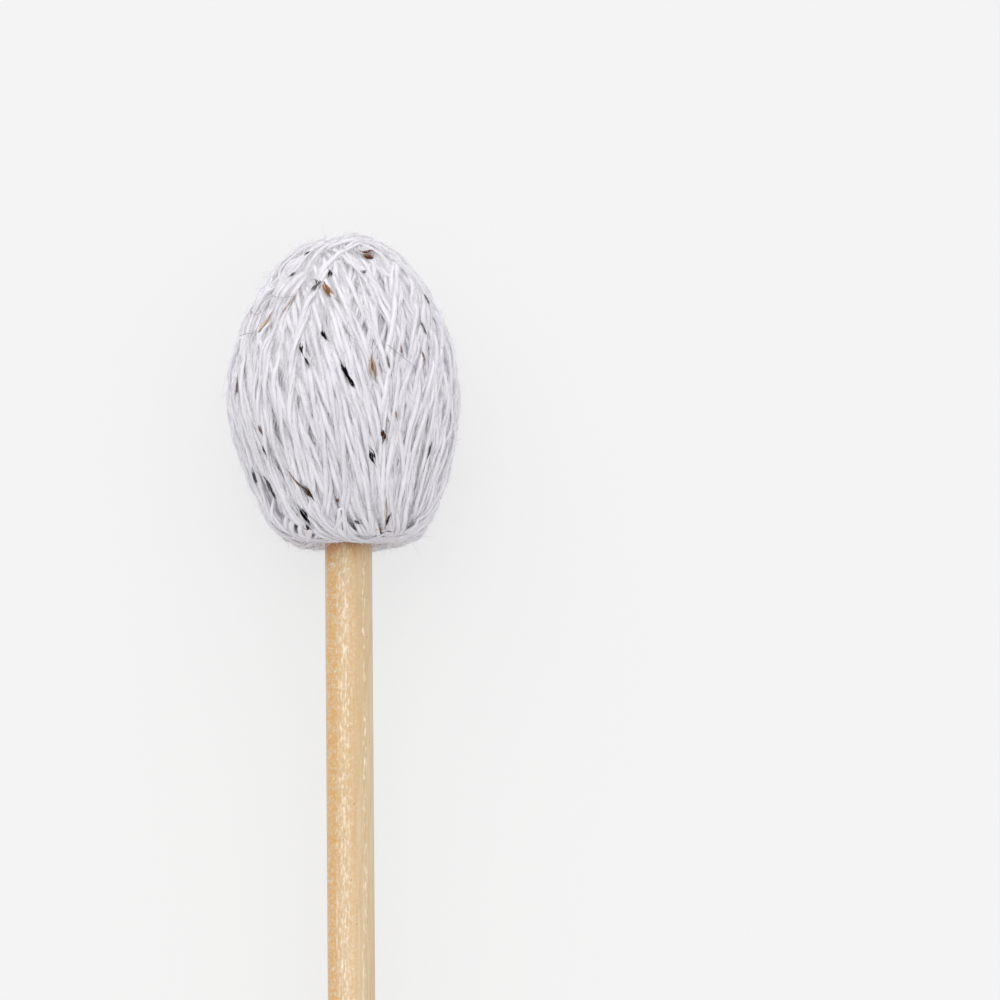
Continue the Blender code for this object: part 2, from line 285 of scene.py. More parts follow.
# Two flat maps of the heap's height, one round each end
field = {
    "cell": 0.25,           # mm
    "half": 46.0,           # mm from a map's middle to its edge
    "turnSamples": 760,     # places along one loop
    "acrossSamples": 11,    # places across one strand
    "seam": (80, 100),      # polar angles in degrees between which the crown's map goes over to the neck's
    "spread": 2.5,          # mm over which the smoothed heap takes its mean
}
fieldSize = int(2 * field["half"] / field["cell"]) + 1
heights = {"crown": np.zeros((fieldSize, fieldSize)), "neck": np.zeros((fieldSize, fieldSize))}
across = np.linspace(-1, 1, field["acrossSamples"]) * yarn["width"] / 2
roundness = yarn["pressedThickness"] / 2 * np.sqrt(1 - (across / (yarn["width"] / 2 + 0.05)) ** 2)


def fieldCells(polar, azimuth, sideways, end):
    # Cells under a strand's width in a flat map round one end: distance from that end, and azimuth
    radius, _ = outlineAt(polar)
    along = np.interp(polar, polarAngles, fromCrown)
    distance = along if end == "crown" else fromCrown[-1] - along
    outwards = 1 if end == "crown" else -1
    east = distance / np.maximum(radius, 0.5) * sideways[:, 1]
    out = outwards * sideways[:, 0]
    sine, cosine = np.sin(azimuth), np.cos(azimuth)
    x = (distance * sine)[:, None] + (out * sine + east * cosine)[:, None] * across
    y = (distance * cosine)[:, None] + (out * cosine - east * sine)[:, None] * across
    column = np.rint((x + field["half"]) / field["cell"]).astype(int)
    row = np.rint((y + field["half"]) / field["cell"]).astype(int)
    inside = (column >= 0) & (row >= 0) & (column < fieldSize) & (row < fieldSize)
    return np.clip(row, 0, fieldSize - 1), np.clip(column, 0, fieldSize - 1), inside


def tautHeights(raw, step):
    # A strand under tension: over each high place a parabola, then a short running mean. The step is in mm.
    reach = int(yarn["tautReach"] / step)
    lifted = np.full(len(raw), -np.inf)
    padded = np.pad(raw, reach, mode="edge")
    for shift in range(-reach, reach + 1):
        drop = yarn["stiffness"] * (shift * step) ** 2
        lifted = np.maximum(lifted, padded[reach + shift:reach + shift + len(raw)] - drop)
    width = max(3, int(yarn["smoothing"] / step))
    kernel = np.hanning(2 * width + 1)
    return np.convolve(np.pad(lifted, width, mode="edge"), kernel / kernel.sum(), mode="valid")


def loopPath(group, turns, random):
    # Plan places of a strand, turns counting its loops from the neck. A loop passes the crown at -crown and
    # the neck at +neck beside the axis, and swings from one to the other as the cosine of its angle, steeper
    # in the middle. The plan place becomes a polar angle and an azimuth on the head.
    whole = np.floor(turns)
    angle = (turns - whole) * math.tau - math.pi
    swing = np.cos(angle) * (1 + yarn["sway"] * np.sin(angle) ** 2)
    crownKnots, neckKnots = random.random(64), random.random(64)
    # From loop to loop the crown's offset swings through its range, moved a little by chance
    crown = 0.5 + 0.5 * np.sin(1.9 * whole) * 0.7 + 0.3 * (crownKnots[whole.astype(int)] - 0.5)
    near = planOffset(yarn["nearestHandle"])
    neck = between(group["neck"], neckKnots[np.where(angle > 0, whole + 1, whole).astype(int)])
    neck = near + neck * near / yarn["nearestHandle"]
    side = -between(group["crown"], crown) * (1 + swing) / 2 + neck * (1 - swing) / 2
    stray = easedNoise((random.random(4000) - 0.5) * 2, turns * yarn["loopLength"] / yarn["wanderLength"])
    side = side + yarn["wander"] * stray * shareBetween(np.cos(angle), *yarn["wanderFrom"])
    radius = outline["radius"]
    ahead = np.sqrt(np.maximum(radius ** 2 - side ** 2, 0)) * np.sin(angle)
    steep = np.arcsin(np.clip(np.hypot(ahead, side) / radius, 0, 1))
    polar = np.where(np.cos(angle) > 0, steep, math.pi - steep)
    straggle = yarn["straggle"] * (2 * easedNoise(random.random(64), turns) - 1)
    facing = np.radians(between((group["start"], group["end"]), turns / group["loops"]) + straggle)
    return polar, facing + np.arctan2(side, ahead)


def planOffset(radius):
    # The offset in plan at which a strand passes the axis at this distance, at the neck
    plan = np.sin(polarAngles[halfCount:]) * outline["radius"]
    return float(np.interp(-radius, -outlineRadius[halfCount:], plan))


def layGroup(group, random):
    # Lays one loop after another on the heights so far, and raises them by each
    samples = field["turnSamples"]
    turns = (np.arange(group["loops"] * samples) + 0.5) / samples
    polar, azimuth = loopPath(group, turns, random)
    surface, normal, down = onHead(polar, azimuth)
    tangent = unit(np.gradient(surface, axis=0))
    side = np.cross(tangent, normal)
    east = np.cross(normal, down)
    eastSign = np.sign((east * np.stack([np.cos(azimuth), 0 * azimuth, -np.sin(azimuth)], axis=-1)).sum(-1))
    sideways = np.stack([(side * down).sum(-1), (side * east).sum(-1) * eastSign], axis=-1)
    height = np.zeros(len(turns))
    for loop in range(group["loops"]):
        part = slice(loop * samples, (loop + 1) * samples)
        cells = {end: fieldCells(polar[part], azimuth[part], sideways[part], end) for end in heights}
        under = {end: heights[end][rows, columns] for end, (rows, columns, _) in cells.items()}
        below = np.where((polar[part] < math.pi / 2)[:, None], under["crown"], under["neck"])
        share = (yarn["crowding"] / (yarn["crowding"] + below.mean(axis=1)))[:, None]
        raw = below.mean(axis=1) + yarn["pressedThickness"] / 2 * share[:, 0]
        step = np.linalg.norm(np.diff(surface[part], axis=0), axis=1).mean()
        laid = tautHeights(raw, step)
        height[part] = laid
        top = np.minimum(laid, raw + yarn["bridge"])[:, None] + roundness * share
        for end, (rows, columns, inside) in cells.items():
            np.maximum.at(heights[end], (rows[inside], columns[inside]), top[inside])
    return {"group": group, "polar": polar, "azimuth": azimuth, "height": height}


random = np.random.default_rng(yarn["seed"])
laidGroups = [layGroup(group, random) for group in windings]
print("yarn laid:", sum(group["loops"] for group in windings), "loops")


def smoothedHeap(end):
    # The heap's height over a few strands, so that the outermost strands keep to the outline: a Gaussian mean
    # over the cells that hold yarn, first along rows and then along columns
    spread = field["spread"]
    offsets = np.arange(-3 * spread, 3 * spread + field["cell"], field["cell"])
    kernel = np.exp(-offsets ** 2 / (2 * spread ** 2))

    def blurred(grid):
        alongRows = np.apply_along_axis(np.convolve, 1, grid, kernel, "same")
        return np.apply_along_axis(np.convolve, 0, alongRows, kernel, "same")

    return blurred(heights[end]) / np.maximum(blurred((heights[end] > 0).astype(float)), 1e-3)


heap = {end: smoothedHeap(end) for end in heights}


def onField(grids, polar, azimuth):
    # A grid's value at a place: from the crown's map above the middle, from the neck's below, mixed between
    values = {}
    sideways = np.zeros((polar.size, 2))
    middle = len(across) // 2
    for end in grids:
        rows, columns, _ = fieldCells(polar.ravel(), azimuth.ravel(), sideways, end)
        values[end] = grids[end][rows[:, middle], columns[:, middle]].reshape(polar.shape)
    return between((values["crown"], values["neck"]), shareBetween(polar, *np.radians(field["seam"])))


def pressed(lift, polar):
    # Strands far under or over the outline are drawn towards it, to stay within the two largest distances
    share = shareBetween(polar, *np.radians(yarn["neckFrom"]))
    deepest = between((yarn["deepest"], yarn["deepestAtNeck"]), share)
    under = deepest * (np.exp(np.minimum(lift, 0) / deepest) - 1)
    return under + yarn["highest"] * (1 - np.exp(-np.maximum(lift, 0) / yarn["highest"]))


def evenStrand(laid):
    # A laid strand as points, normals and a running length, with even steps between its sections
    polar, azimuth = laid["polar"], laid["azimuth"]
    under = onField(heap, polar, azimuth)
    under = np.convolve(np.pad(under, 3, mode="edge"), np.ones(7) / 7, mode="valid")
    lift = pressed(laid["height"] - under, polar)
    points, normals, _ = onHead(polar, azimuth, lift)
    run = np.concatenate([[0], np.cumsum(np.linalg.norm(np.diff(points, axis=0), axis=1))])
    even = np.arange(0, run[-1], yarn["sectionStep"])

    def atSections(columns):
        return np.stack([np.interp(even, run, column) for column in columns], axis=-1)

    turned = atSections([polar, np.sin(azimuth), np.cos(azimuth)])
    place = np.stack([turned[:, 0], np.arctan2(turned[:, 1], turned[:, 2])], axis=-1)
    return {"points": atSections(points.T), "normals": unit(atSections(normals.T)), "along": even,
            "place": place, "lift": np.interp(even, run, lift)}


outlineSpeed = np.gradient(fromCrown, polarAngles)
polarLimits = (0.12, 2.75)    # radians from the crown between which fibres and flecks lie


def beside(polar, azimuth, heading, along, aside):
    # Places reached from a point of the head by going along a heading, counted from straight down towards
    # the right, and aside from it, in mm
    down = along * np.cos(heading) - aside * np.sin(heading)
    east = along * np.sin(heading) + aside * np.cos(heading)
    reached = np.clip(polar + down / np.interp(polar, polarAngles, outlineSpeed), *polarLimits)
    return reached, azimuth + east / np.maximum(outlineAt(reached)[0], 3.0)


def draped(polar, azimuth, along, slope):
    # The height of a row of places that rests on the winding and drops no faster than the slope
    resting = pressed(onField(heights, polar, azimuth) - onField(heap, polar, azimuth), polar)
    drop = slope * np.abs(along[..., :, None] - along[..., None, :])
    return (resting[..., None, :] - drop).max(axis=-1)


# Tubes of yarn and fibre

def frames(points, normals):
    # The head's normal turned square to a path, and the direction square to both
    tangent = unit(np.gradient(points, axis=0))
    normal = unit(normals - (normals * tangent).sum(-1, keepdims=True) * tangent)
    return normal, np.cross(tangent, normal)


def ringQuads(starts, sides):
    # Faces between a ring of points that begins at each start and the ring after it
    here = np.arange(sides)
    first, second = starts[..., None] + here, starts[..., None] + (here + 1) % sides
    return np.stack([first, second, second + sides, first + sides], axis=-1).reshape(-1, 4)


def ringCorners(along, sides, girth):
    # Their corners in the texture: the length along the tube, and one girth for each side
    here = np.arange(sides)
    lengths = np.stack([along[:-1], along[:-1], along[1:], along[1:]], axis=-1)[:, None, :]
    rounds = np.stack([here, here + 1, here + 1, here], axis=-1)[None] * girth
    return np.stack(np.broadcast_arrays(lengths, rounds), axis=-1).reshape(-1, 4, 2)


def tubeMesh(path, normal, side, radii, sides, along, flatness=1.0):
    # A closed tube: at each section an ellipse of half-width r beside the path and flatness times r over it
    angles = np.arange(sides) * math.tau / sides
    ring = flatness * np.cos(angles)[None, :, None] * normal[:, None, :]
    ring = ring + np.sin(angles)[None, :, None] * side[:, None, :]
    points = (path[:, None, :] + radii[:, None, None] * ring).reshape(-1, 3)
    girth = math.tau * radii.mean() / sides
    last = (len(path) - 1) * sides
    caps = np.stack([np.arange(sides)[::-1], last + np.arange(sides)])
    capCorners = np.stack([np.zeros((2, sides)), np.arange(sides) * girth + np.zeros((2, 1))], axis=-1)
    quads = ringQuads(np.arange(len(path) - 1) * sides, sides)
    return points, quads, caps, ringCorners(along, sides, girth), capCorners


def joined(meshes):
    # Several tubes as one: later faces count on from earlier points
    starts = np.cumsum([0] + [len(mesh[0]) for mesh in meshes[:-1]])
    points = np.concatenate([mesh[0] for mesh in meshes])
    quads = np.concatenate([mesh[1] + start for mesh, start in zip(meshes, starts)])
    caps = np.concatenate([mesh[2] + start for mesh, start in zip(meshes, starts)])
    corners = [np.concatenate([mesh[i] for mesh in meshes]) for i in (3, 4)]
    return points, [quads, caps], corners


plyLines = []   # the middle line of every ply laid so far, for the loose fibres


def twistedStrand(points, normals, along, random, width=1.0):
    # Two plies turn slowly round the strand's middle line, each as thick and thin as spun wool is
    normal, side = frames(points, normals)
    plies = []
    phase = random.random() * math.tau
    phase = phase + yarn["twistDrift"] * chance(random, 900, along, yarn["twistDriftLength"])
    long, short = yarn["slubLengths"]
    for ply in range(2):
        thick = chance(random, 1500, along, long) + 0.5 * chance(random, 4000, along, short)
        angle = math.tau * along / yarn["twist"] + phase + ply * math.pi
        reach = width * (yarn["width"] - yarn["plyWidth"]) / 2 * (1 + yarn["plyReach"] * thick)
        turned = np.cos(angle)[:, None] * normal * yarn["plyRise"] + np.sin(angle)[:, None] * side
        middle = points + reach[:, None] * turned
        radii = width * yarn["plyWidth"] / 2 * (1 + yarn["plySlub"] * thick)
        radii[[0, -1]] *= yarn["endTaper"]
        plies.append(tubeMesh(middle, normal, side, radii, yarn["plySides"], along, yarn["plyFlatness"]))
        plyLines.append({"middle": middle, "normal": normal, "side": side, "radii": radii})
    return plies


# Materials of the head

wool = {
    "streakLength": 4.0,    # mm
    "streakWidth": 0.22,    # mm
    "relief": 0.0002,       # m
    "tones": (0.45, 1.0),   # sums of streak and tone at which the wool is deep and light
}


def woolMaterial(name, light, deep, dyed=False, sheen=0.05, specular=0.2):
    # Woollen-spun two-ply merino: undyed it is a soft matt white with a pale sheen where loose fibres catch
    # the light, and dyed it takes its colour from each fleck. Fibres are 0.02 mm thick, too fine to show, so
    # the streaks are drawn 0.22 mm apart and 4 mm long.
    material, tree = newMaterial(name)
    places = addNode(tree, "ShaderNodeUVMap", {"uv_map": "alongAndAround"})
    stretch = addNode(tree, "ShaderNodeMapping",
                      {"Scale": (1 / wool["streakLength"], 1 / wool["streakWidth"], 1)},
                      {"Vector": places.outputs["UV"]})
    streaks = addNode(tree, "ShaderNodeTexNoise", {"Scale": 1.0, "Detail": 3.0, "Roughness": 0.6},
                      {"Vector": stretch.outputs["Vector"]})
    if dyed:
        dye = addNode(tree, "ShaderNodeAttribute", {"attribute_name": "dye"})
        dark = addNode(tree, "ShaderNodeMix",
                       {"data_type": "RGBA", "blend_type": "MULTIPLY", 0: 0.8, 7: linear(deep)},
                       {6: dye.outputs["Color"]})
        tint = addNode(tree, "ShaderNodeMix", {"data_type": "RGBA"},
                       {0: streaks.outputs["Fac"], 6: dark.outputs[2], 7: dye.outputs["Color"]}).outputs[2]
    else:
        tone = addNode(tree, "ShaderNodeAttribute", {"attribute_name": "tone"})
        total = addNode(tree, "ShaderNodeMath", {"operation": "MULTIPLY_ADD", 1: 1.1},
                        {0: streaks.outputs["Fac"], 2: tone.outputs["Fac"]})
        stops = list(zip(wool["tones"], (deep, light)))
        ramp = addNode(tree, "ShaderNodeValToRGB", {"stops": stops}, {"Fac": total.outputs[0]})
        tint = ramp.outputs["Color"]
    relief = addNode(tree, "ShaderNodeBump", {"Strength": 0.8, "Distance": wool["relief"]},
                     {"Height": streaks.outputs["Fac"]})
    shader = addNode(tree, "ShaderNodeBsdfPrincipled",
                     {"Roughness": 0.9, "IOR": 1.45, "Specular IOR Level": specular, "Sheen Weight": sheen,
                      "Sheen Roughness": 0.5, "Sheen Tint": linear("#ffffff")},
                     {"Base Color": tint, "Normal": relief.outputs["Normal"]})
    finishMaterial(tree, shader)
    return material


# The yarn's whites are greyer than the loose fibres' of the same wool: painted shade that keeps bare plies
# from outshining the fibres over them
whiteWool = woolMaterial("merino_wool_white", "#e2e0e6", "#cac7cf")
# The inner wool is drawn greyer than the winding's: painted shade for where it lies under the strands
innerWool = woolMaterial("merino_wool_inner", "#e6e3e9", "#b4b0b8")
dyedWool = woolMaterial("merino_wool_dyed", "#ffffff", "#8a7a70", dyed=True, sheen=0.01, specular=0.05)


# The winding's pieces

# A strand's tone: its middle, how far chance moves it over long and short stretches, in mm, and the loss per
# mm of height. That loss is painted light and shade: strands deep in the heap are drawn lighter, as if lit
# through the wool above them, and the outermost ones greyer.
strandTone = {"middle": 0.34, "long": 0.25, "longLength": 40.0, "short": 0.2, "shortLength": 4.0, "lift": 0.3}

strands = []
for laid in laidGroups:
    strand = evenStrand(laid)
    strands.append(strand)
    along = strand["along"]
    meshPoints, faces, corners = joined(twistedStrand(strand["points"], strand["normals"], along, random))
    shade = chance(random, 600, along, strandTone["longLength"]) * strandTone["long"]
    shade = shade + chance(random, 4000, along, strandTone["shortLength"]) * strandTone["short"]
    # Painted light: the lower a strand lies in the heap, the lighter it is drawn
    tone = strandTone["middle"] + shade - strandTone["lift"] * strand["lift"]
    tone = np.tile(np.repeat(tone, yarn["plySides"]), 2)
    piece = newPiece(laid["group"]["name"], meshPoints, faces, whiteWool, corners, tone)
    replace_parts(piece, "yarn_winding")


# Inner wool under the winding

bed = {
    "rows": 80, "columns": 120,
    "hole": 4.35,           # mm from the axis to its edge at the handle
    "depth": 0.2,           # mm under the lowest strands
    "wall": 1.0,            # mm
    "unevenness": 0.18,     # mm
    "unevenPlaces": (40, 60),
    # A low tone, greyer still: painted shade under the winding
    "tone": 0.2,
    "seed": 5,
}


def handLaid(polar, azimuth):
    # A slow noise that makes the wool uneven, as wool laid by hand is: random values on rows round the head,
    # joined by straight steps
    rows, columns = bed["unevenPlaces"]
    values = np.random.default_rng(bed["seed"]).random((rows, columns)) - 0.5
    row, column = polar / math.pi * (rows - 1), azimuth / math.tau * columns
    above, left = np.floor(row).astype(int), np.floor(column).astype(int)

    def onRow(which):
        first, second = values[which, left % columns], values[which, (left + 1) % columns]
        return first * (1 - column + left) + second * (column - left)

    below = np.minimum(above + 1, rows - 1)
    return 2 * (onRow(above) * (1 - row + above) + onRow(below) * (row - above))


def makeBed():
    # The outline under the heap of yarn, turned about the axis, down to the handle's hole, and back up inside
    rows, columns = bed["rows"], bed["columns"]
    end = math.pi - math.asin(planOffset(bed["hole"]) / outline["radius"])
    angles = np.linspace(0, end, rows)
    polar, azimuth = np.meshgrid(angles, np.arange(columns) * math.tau / columns, indexing="ij")
    depth = -pressed(-onField(heap, polar, azimuth), polar)
    depth[0] = depth[0].mean()
    uneven = bed["unevenness"] * handLaid(polar, azimuth) * np.clip(np.sin(polar) * 6, 0, 1)
    outer, _, _ = onHead(polar, azimuth, uneven - depth - bed["depth"])
    inner, _, _ = onHead(polar, azimuth, polar * 0 - yarn["deepestAtNeck"] - bed["wall"])
    hole = np.hypot(outer[-1, 0, 0], outer[-1, 0, 2])
    widened = np.maximum(1, hole / np.maximum(np.hypot(inner[..., 0], inner[..., 2]), 1e-6))
    inner[..., ::2] *= np.where(polar > math.pi / 2, widened, 1)[..., None]
    shell = np.concatenate([outer[1:], inner[:0:-1]])
    points = np.concatenate([shell.reshape(-1, 3), outer[0, :1], inner[0, :1]])
    ring = np.arange(columns)
    nextRing = (ring + 1) % columns
    last = (len(shell) - 1) * columns
    crownFan = np.stack([np.full(columns, len(points) - 2), ring, nextRing], axis=-1)
    innerFan = np.stack([np.full(columns, len(points) - 1), last + nextRing, last + ring], axis=-1)
    distance = np.interp(np.concatenate([angles[1:], angles[:0:-1]]), polarAngles, fromCrown)
    girth = np.hypot(shell[:, 0, 0], shell[:, 0, 2]).max() * math.tau / columns
    outwards = [0, 3, 2, 1]   # these rings run the other way round than a tube's
    quads = ringQuads(np.arange(len(shell) - 1) * columns, columns)[:, outwards]
    quadCorners = ringCorners(distance, columns, girth)[:, outwards]
    fanRounds = np.stack([ring, ring, ring + 1], axis=-1) * girth
    fanCorners = np.stack([np.zeros((columns, 3)), fanRounds], axis=-1)
    return newPiece("inner_wool_body", points, [quads, crownFan, innerFan], innerWool,
                    [quadCorners, fanCorners, fanCorners], np.full(len(points), bed["tone"]))


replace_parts(makeBed(), "under_wrap")


# Stitches at crown and neck

stitches = {
    "crown": {"count": 7, "inner": 4.2, "outer": 6.8},     # mm from the axis
    # The neck's third turn is a long stitch, which reaches to the front
    "neck": {"count": 8, "inner": 5.9, "outer": 10.4, "facing": -61.0, "front": 13.6},
    "narrow": (0.14, 0.30),     # how far the long turn and the neck's other outer turns close, 1 is round
    "uneven": 0.08,     # share by which chance moves a turn in or out
    "rise": 0.5,        # mm that a stitch stands out of the winding
    "dive": 2.2,        # mm that its outer turns sink into the winding
    "diveLength": 2.5,  # mm over which they do so
    "width": 0.65,      # of the winding's yarn
    "tone": 0.4,
    "roundTurn": 10,    # points in a turn
    "step": 0.15,       # mm
    "seed": 3,
}


def stitchPath(ring, atNeck, random):
    # Straight runs out and in, joined by round turns, on a circle round the axis and left open in one place
    count = ring["count"]
    halfStep = math.pi / (2 * count)
    turns = []
    for turn in range(2 * count - 1):
        outer, long = turn % 2 == 0, atNeck and turn == 2
        reach = ring["outer"] if outer else ring["inner"]
        reach = reach * (1 + stitches["uneven"] * (random.random() - 0.5))
        reach = ring["front"] if long else reach
        sweep = math.pi / 2 + (halfStep if outer else -halfStep)
        angles = np.linspace(-sweep, sweep, stitches["roundTurn"])
        narrow = stitches["narrow"][0 if long else 1] if outer and atNeck else 1.0
        bend = narrow * reach * math.sin(halfStep) * np.exp(1j * angles)
        turns.append((reach + (bend if outer else -bend.conj())) * np.exp(1j * (2 * turn + 1) * halfStep))
    plan = np.concatenate(turns) * np.exp(1j * math.radians(ring.get("facing", 0)))
    run = np.concatenate([[0], np.cumsum(np.abs(np.diff(plan)))])
    even = np.arange(0, run[-1], stitches["step"])
    plan = np.interp(even, run, plan.real) + 1j * np.interp(even, run, plan.imag)
    half = slice(halfCount, None) if atNeck else slice(halfCount, None, -1)
    polar = np.interp(-np.abs(plan), -outlineRadius[half], polarAngles[half])
    azimuth = np.angle(plan)
    furthest = np.where(np.abs(plan) > ring["outer"] * 1.05, ring.get("front", 0), ring["outer"])
    sunk = np.clip((np.abs(plan) - furthest * 0.97) / stitches["diveLength"] + 1, 0, 1)
    raw = onField(heights, polar, azimuth) + stitches["rise"] - stitches["dive"] * sunk ** 2
    return polar, azimuth, tautHeights(raw, stitches["step"])


def makeStitch(name, ring, atNeck):
    random = np.random.default_rng(stitches["seed"])
    polar, azimuth, height = stitchPath(ring, atNeck, random)
    strand = evenStrand({"polar": polar, "azimuth": azimuth, "height": height})
    plies = twistedStrand(strand["points"], strand["normals"], strand["along"], random, stitches["width"])
    meshPoints, faces, corners = joined(plies)
    tone = np.full(len(meshPoints), stitches["tone"])
    return newPiece(name, meshPoints, faces, whiteWool, corners, tone)


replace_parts(makeStitch("crown_stitch_yarn", stitches["crown"], False), "crown_stitch")
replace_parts(makeStitch("neck_stitch_yarn", stitches["neck"], True), "neck_stitch")


# Camera

camera = {
    "headPixel": (347.45, 397),    # where the head's centre stands in the picture
    "pixelsPerMillimetre": 5.9,
    "distance": 2.5,              # m
    "pitch": 12.2,                # degrees that the camera stands towards the butt
    "roll": -0.49,                # degrees
    "imageSize": 1000,
    "sensor": 36.0,
}


def makeCamera():
    # The camera looks at the picture's middle, measured in the level plane through the head's centre
    perMetre = camera["pixelsPerMillimetre"] * 1000
    pitch, roll = math.radians(camera["pitch"]), math.radians(camera["roll"])
    backwards = np.array([0, -math.sin(pitch), math.cos(pitch)])
    right = np.array([1.0, 0, 0])
    up = np.cross(backwards, right)
    turnedRight = right * math.cos(roll) + up * math.sin(roll)
    turnedUp = up * math.cos(roll) - right * math.sin(roll)
    fromMiddle = (np.array(camera["headPixel"]) - camera["imageSize"] / 2) / perMetre
    target = headCentre - turnedRight * fromMiddle[0] + turnedUp * fromMiddle[1]
    data = bpy.data.cameras.new("overhead_camera")
    data.sensor_width = camera["sensor"]
    data.lens = camera["sensor"] * camera["distance"] * perMetre / camera["imageSize"]
    data.clip_end = 50
    made = bpy.data.objects.new("overhead_camera", data)
    bpy.context.scene.collection.objects.link(made)
    place = np.eye(4)
    place[:3, 0], place[:3, 1], place[:3, 2] = turnedRight, turnedUp, backwards
    place[:3, 3] = target + backwards * camera["distance"]
    made.matrix_world = Matrix(place.tolist())
    bpy.context.scene.camera = made
    return place, data.lens


cameraPlace, cameraLens = makeCamera()


def pixelOf(points):
    # Where head points stand in the picture, and how far they are from the camera
    seen = (toWorld(points) - cameraPlace[:3, 3]) @ cameraPlace[:3, :3]
    scale = cameraLens / camera["sensor"] * camera["imageSize"]
    middle = camera["imageSize"] / 2
    places = [middle + scale * seen[:, 0] / -seen[:, 2], middle - scale * seen[:, 1] / -seen[:, 2]]
    return np.stack(places, axis=-1), -seen[:, 2]


# Flecks of dyed wool

flecks = {
    # Place in the picture, by how many degrees its top leans to the left, length and width in mm, colour
    "placed": [
        ((366, 252), -60, 2.4, 1.9, "#7c4119"), ((367, 254), -60, 1.6, 0.8, "#b87a3c"),
        ((307, 250), -60, 0.9, 0.4, "#2a2624"), ((292, 273), -35, 1.2, 0.3, "#6a6468"),
        ((333, 268), 5, 1.4, 0.6, "#3a322f"), ((324, 292), 25, 4.4, 1.1, "#9a6a36"),
        ((320, 286), 25, 1.8, 0.7, "#4a3020"), ((316, 291), -20, 1.8, 0.6, "#6b6669"),
        ((363, 273), -80, 0.9, 0.4, "#8b8488"), ((289, 303), -18, 5.0, 0.6, "#f0d3b4"),
        ((263, 320), -27, 4.4, 0.9, "#f6d5a2"), ((326, 331), 25, 2.4, 0.7, "#121011"),
        ((305, 349), 10, 2.4, 0.7, "#181516"), ((309, 360), 30, 1.8, 0.25, "#3c383a"),
        ((344, 371), 27, 3.6, 0.6, "#0e0d0e"), ((349, 380), 24, 3.0, 0.5, "#0e0d0e"),
        ((372, 367), 6, 4.0, 1.1, "#c8a98c"), ((370, 362), 0, 1.6, 0.4, "#7b5540"),
        ((428, 356), 5, 2.8, 0.5, "#8a6248"), ((395, 363), 10, 3.2, 0.3, "#8f8580"),
        ((422, 330), 15, 2.4, 0.25, "#8a8388"), ((233, 387), 8, 2.7, 0.8, "#8d7b70"),
        ((256, 431), 30, 1.6, 0.5, "#6d4c36"), ((258, 453), 35, 2.0, 0.4, "#4a454a"),
        ((387, 434), 3, 2.0, 0.7, "#4a2c1a"), ((370, 455), 20, 2.8, 0.9, "#121112"),
        ((435, 451), -25, 2.2, 0.3, "#5a555a"), ((290, 479), 46, 3.6, 0.35, "#8a6238"),
        ((304, 492), 45, 3.2, 0.8, "#5c4030"), ((267, 488), 25, 2.6, 0.7, "#55525a"),
        ((270, 498), 30, 2.2, 0.6, "#3f3c42"), ((335, 500), 20, 1.2, 0.6, "#7c5138"),
        ((306, 518), 25, 3.2, 1.1, "#161518"), ((308, 526), 20, 1.6, 0.5, "#333038"),
        ((356, 521), 40, 1.2, 0.6, "#5a5860"), ((381, 515), 10, 3.0, 0.35, "#e6cba2"),
        ((380, 536), -35, 3.0, 0.6, "#dcb88c"), ((383, 523), -10, 2.0, 0.3, "#5a463c"),
        ((304, 536), 60, 1.8, 0.35, "#a07a58"), ((287, 525), 30, 1.4, 0.35, "#8c6a4a"),
        ((250, 476), 30, 2.4, 0.35, "#4d4950"), ((431, 298), 25, 1.8, 0.25, "#77727a"),
        ((388, 540), -70, 1.6, 0.35, "#4a4a52"), ((404, 352), 5, 1.6, 0.25, "#c79b7a"),
        ((393, 415), 10, 1.4, 0.25, "#c9a58a"),
    ],
    "scattered": 45,      # on the side that the camera doesn't see, in these colours
    "colours": ["#2a2624", "#1c1a1b", "#5a3522", "#7a5640", "#a07b4e", "#8d7b70", "#d9bd92", "#4a3025"],
    "lengths": (1.0, 3.0),      # mm, of the scattered ones
    "widths": (0.3, 0.7),       # mm
    "tuft": 14,           # fibres in each fleck
    "tuftSections": 6,
    "ends": (1.0, 0.1),   # half lengths of the fleck from its middle between which a fibre ends
    "tails": 5,           # of these fibres, thin ones that reach out of the fleck
    "tailReach": (1.0, 1.7),    # half lengths of the fleck from its middle
    "bow": 0.5,           # widths between the most that a fleck bends to one side and to the other
    "wedge": 1.2,         # of its width by which one end may be broader than the other
    "blunt": (0.15, 0.75),      # from blunt ends to ends drawn out into points
    "thickness": 0.05,    # mm, half of a tail's
    "broader": (0.04, 0.11),    # share of the fleck's width by which half of another fibre is broader
    "shades": (0.7, 1.3),       # of its colour, from fibre to fibre
    "dark": {"share": 0.3, "shade": 0.4},   # some fibres are darker
    "white": "#e7e5ea",   # of the undyed wool that is carded into the dyed
    "slope": 0.10,        # mm that a fleck drops per mm beside a strand that it lies over
    "above": 0.36,        # mm over the winding
    "reach": 9,           # pixels round its place in which a fleck looks for a strand
    "seed": 21,
}


def strandNearest(pixel):
    # The strand section nearest the camera among those close to a place in the picture
    best = None
    for index, strand in enumerate(strands):
        places, depth = pixelOf(strand["points"])
        off = np.hypot(*(places - np.array(pixel)).T)
        score = off / camera["pixelsPerMillimetre"] + 0.8 * (depth - camera["distance"]) * 1000
        score[off > flecks["reach"]] = np.inf
        section = int(np.argmin(score))
        if best is None or score[section] < best[0]:
            best = (score[section], index, section)
    return best[1], best[2]


def pictureDirection(lean):
    # The direction that runs down the picture at this lean, in the head's coordinates
    angle = math.radians(lean)
    return (cameraPlace[:3, 0] * math.sin(angle) - cameraPlace[:3, 1] * math.cos(angle)) @ headTurn


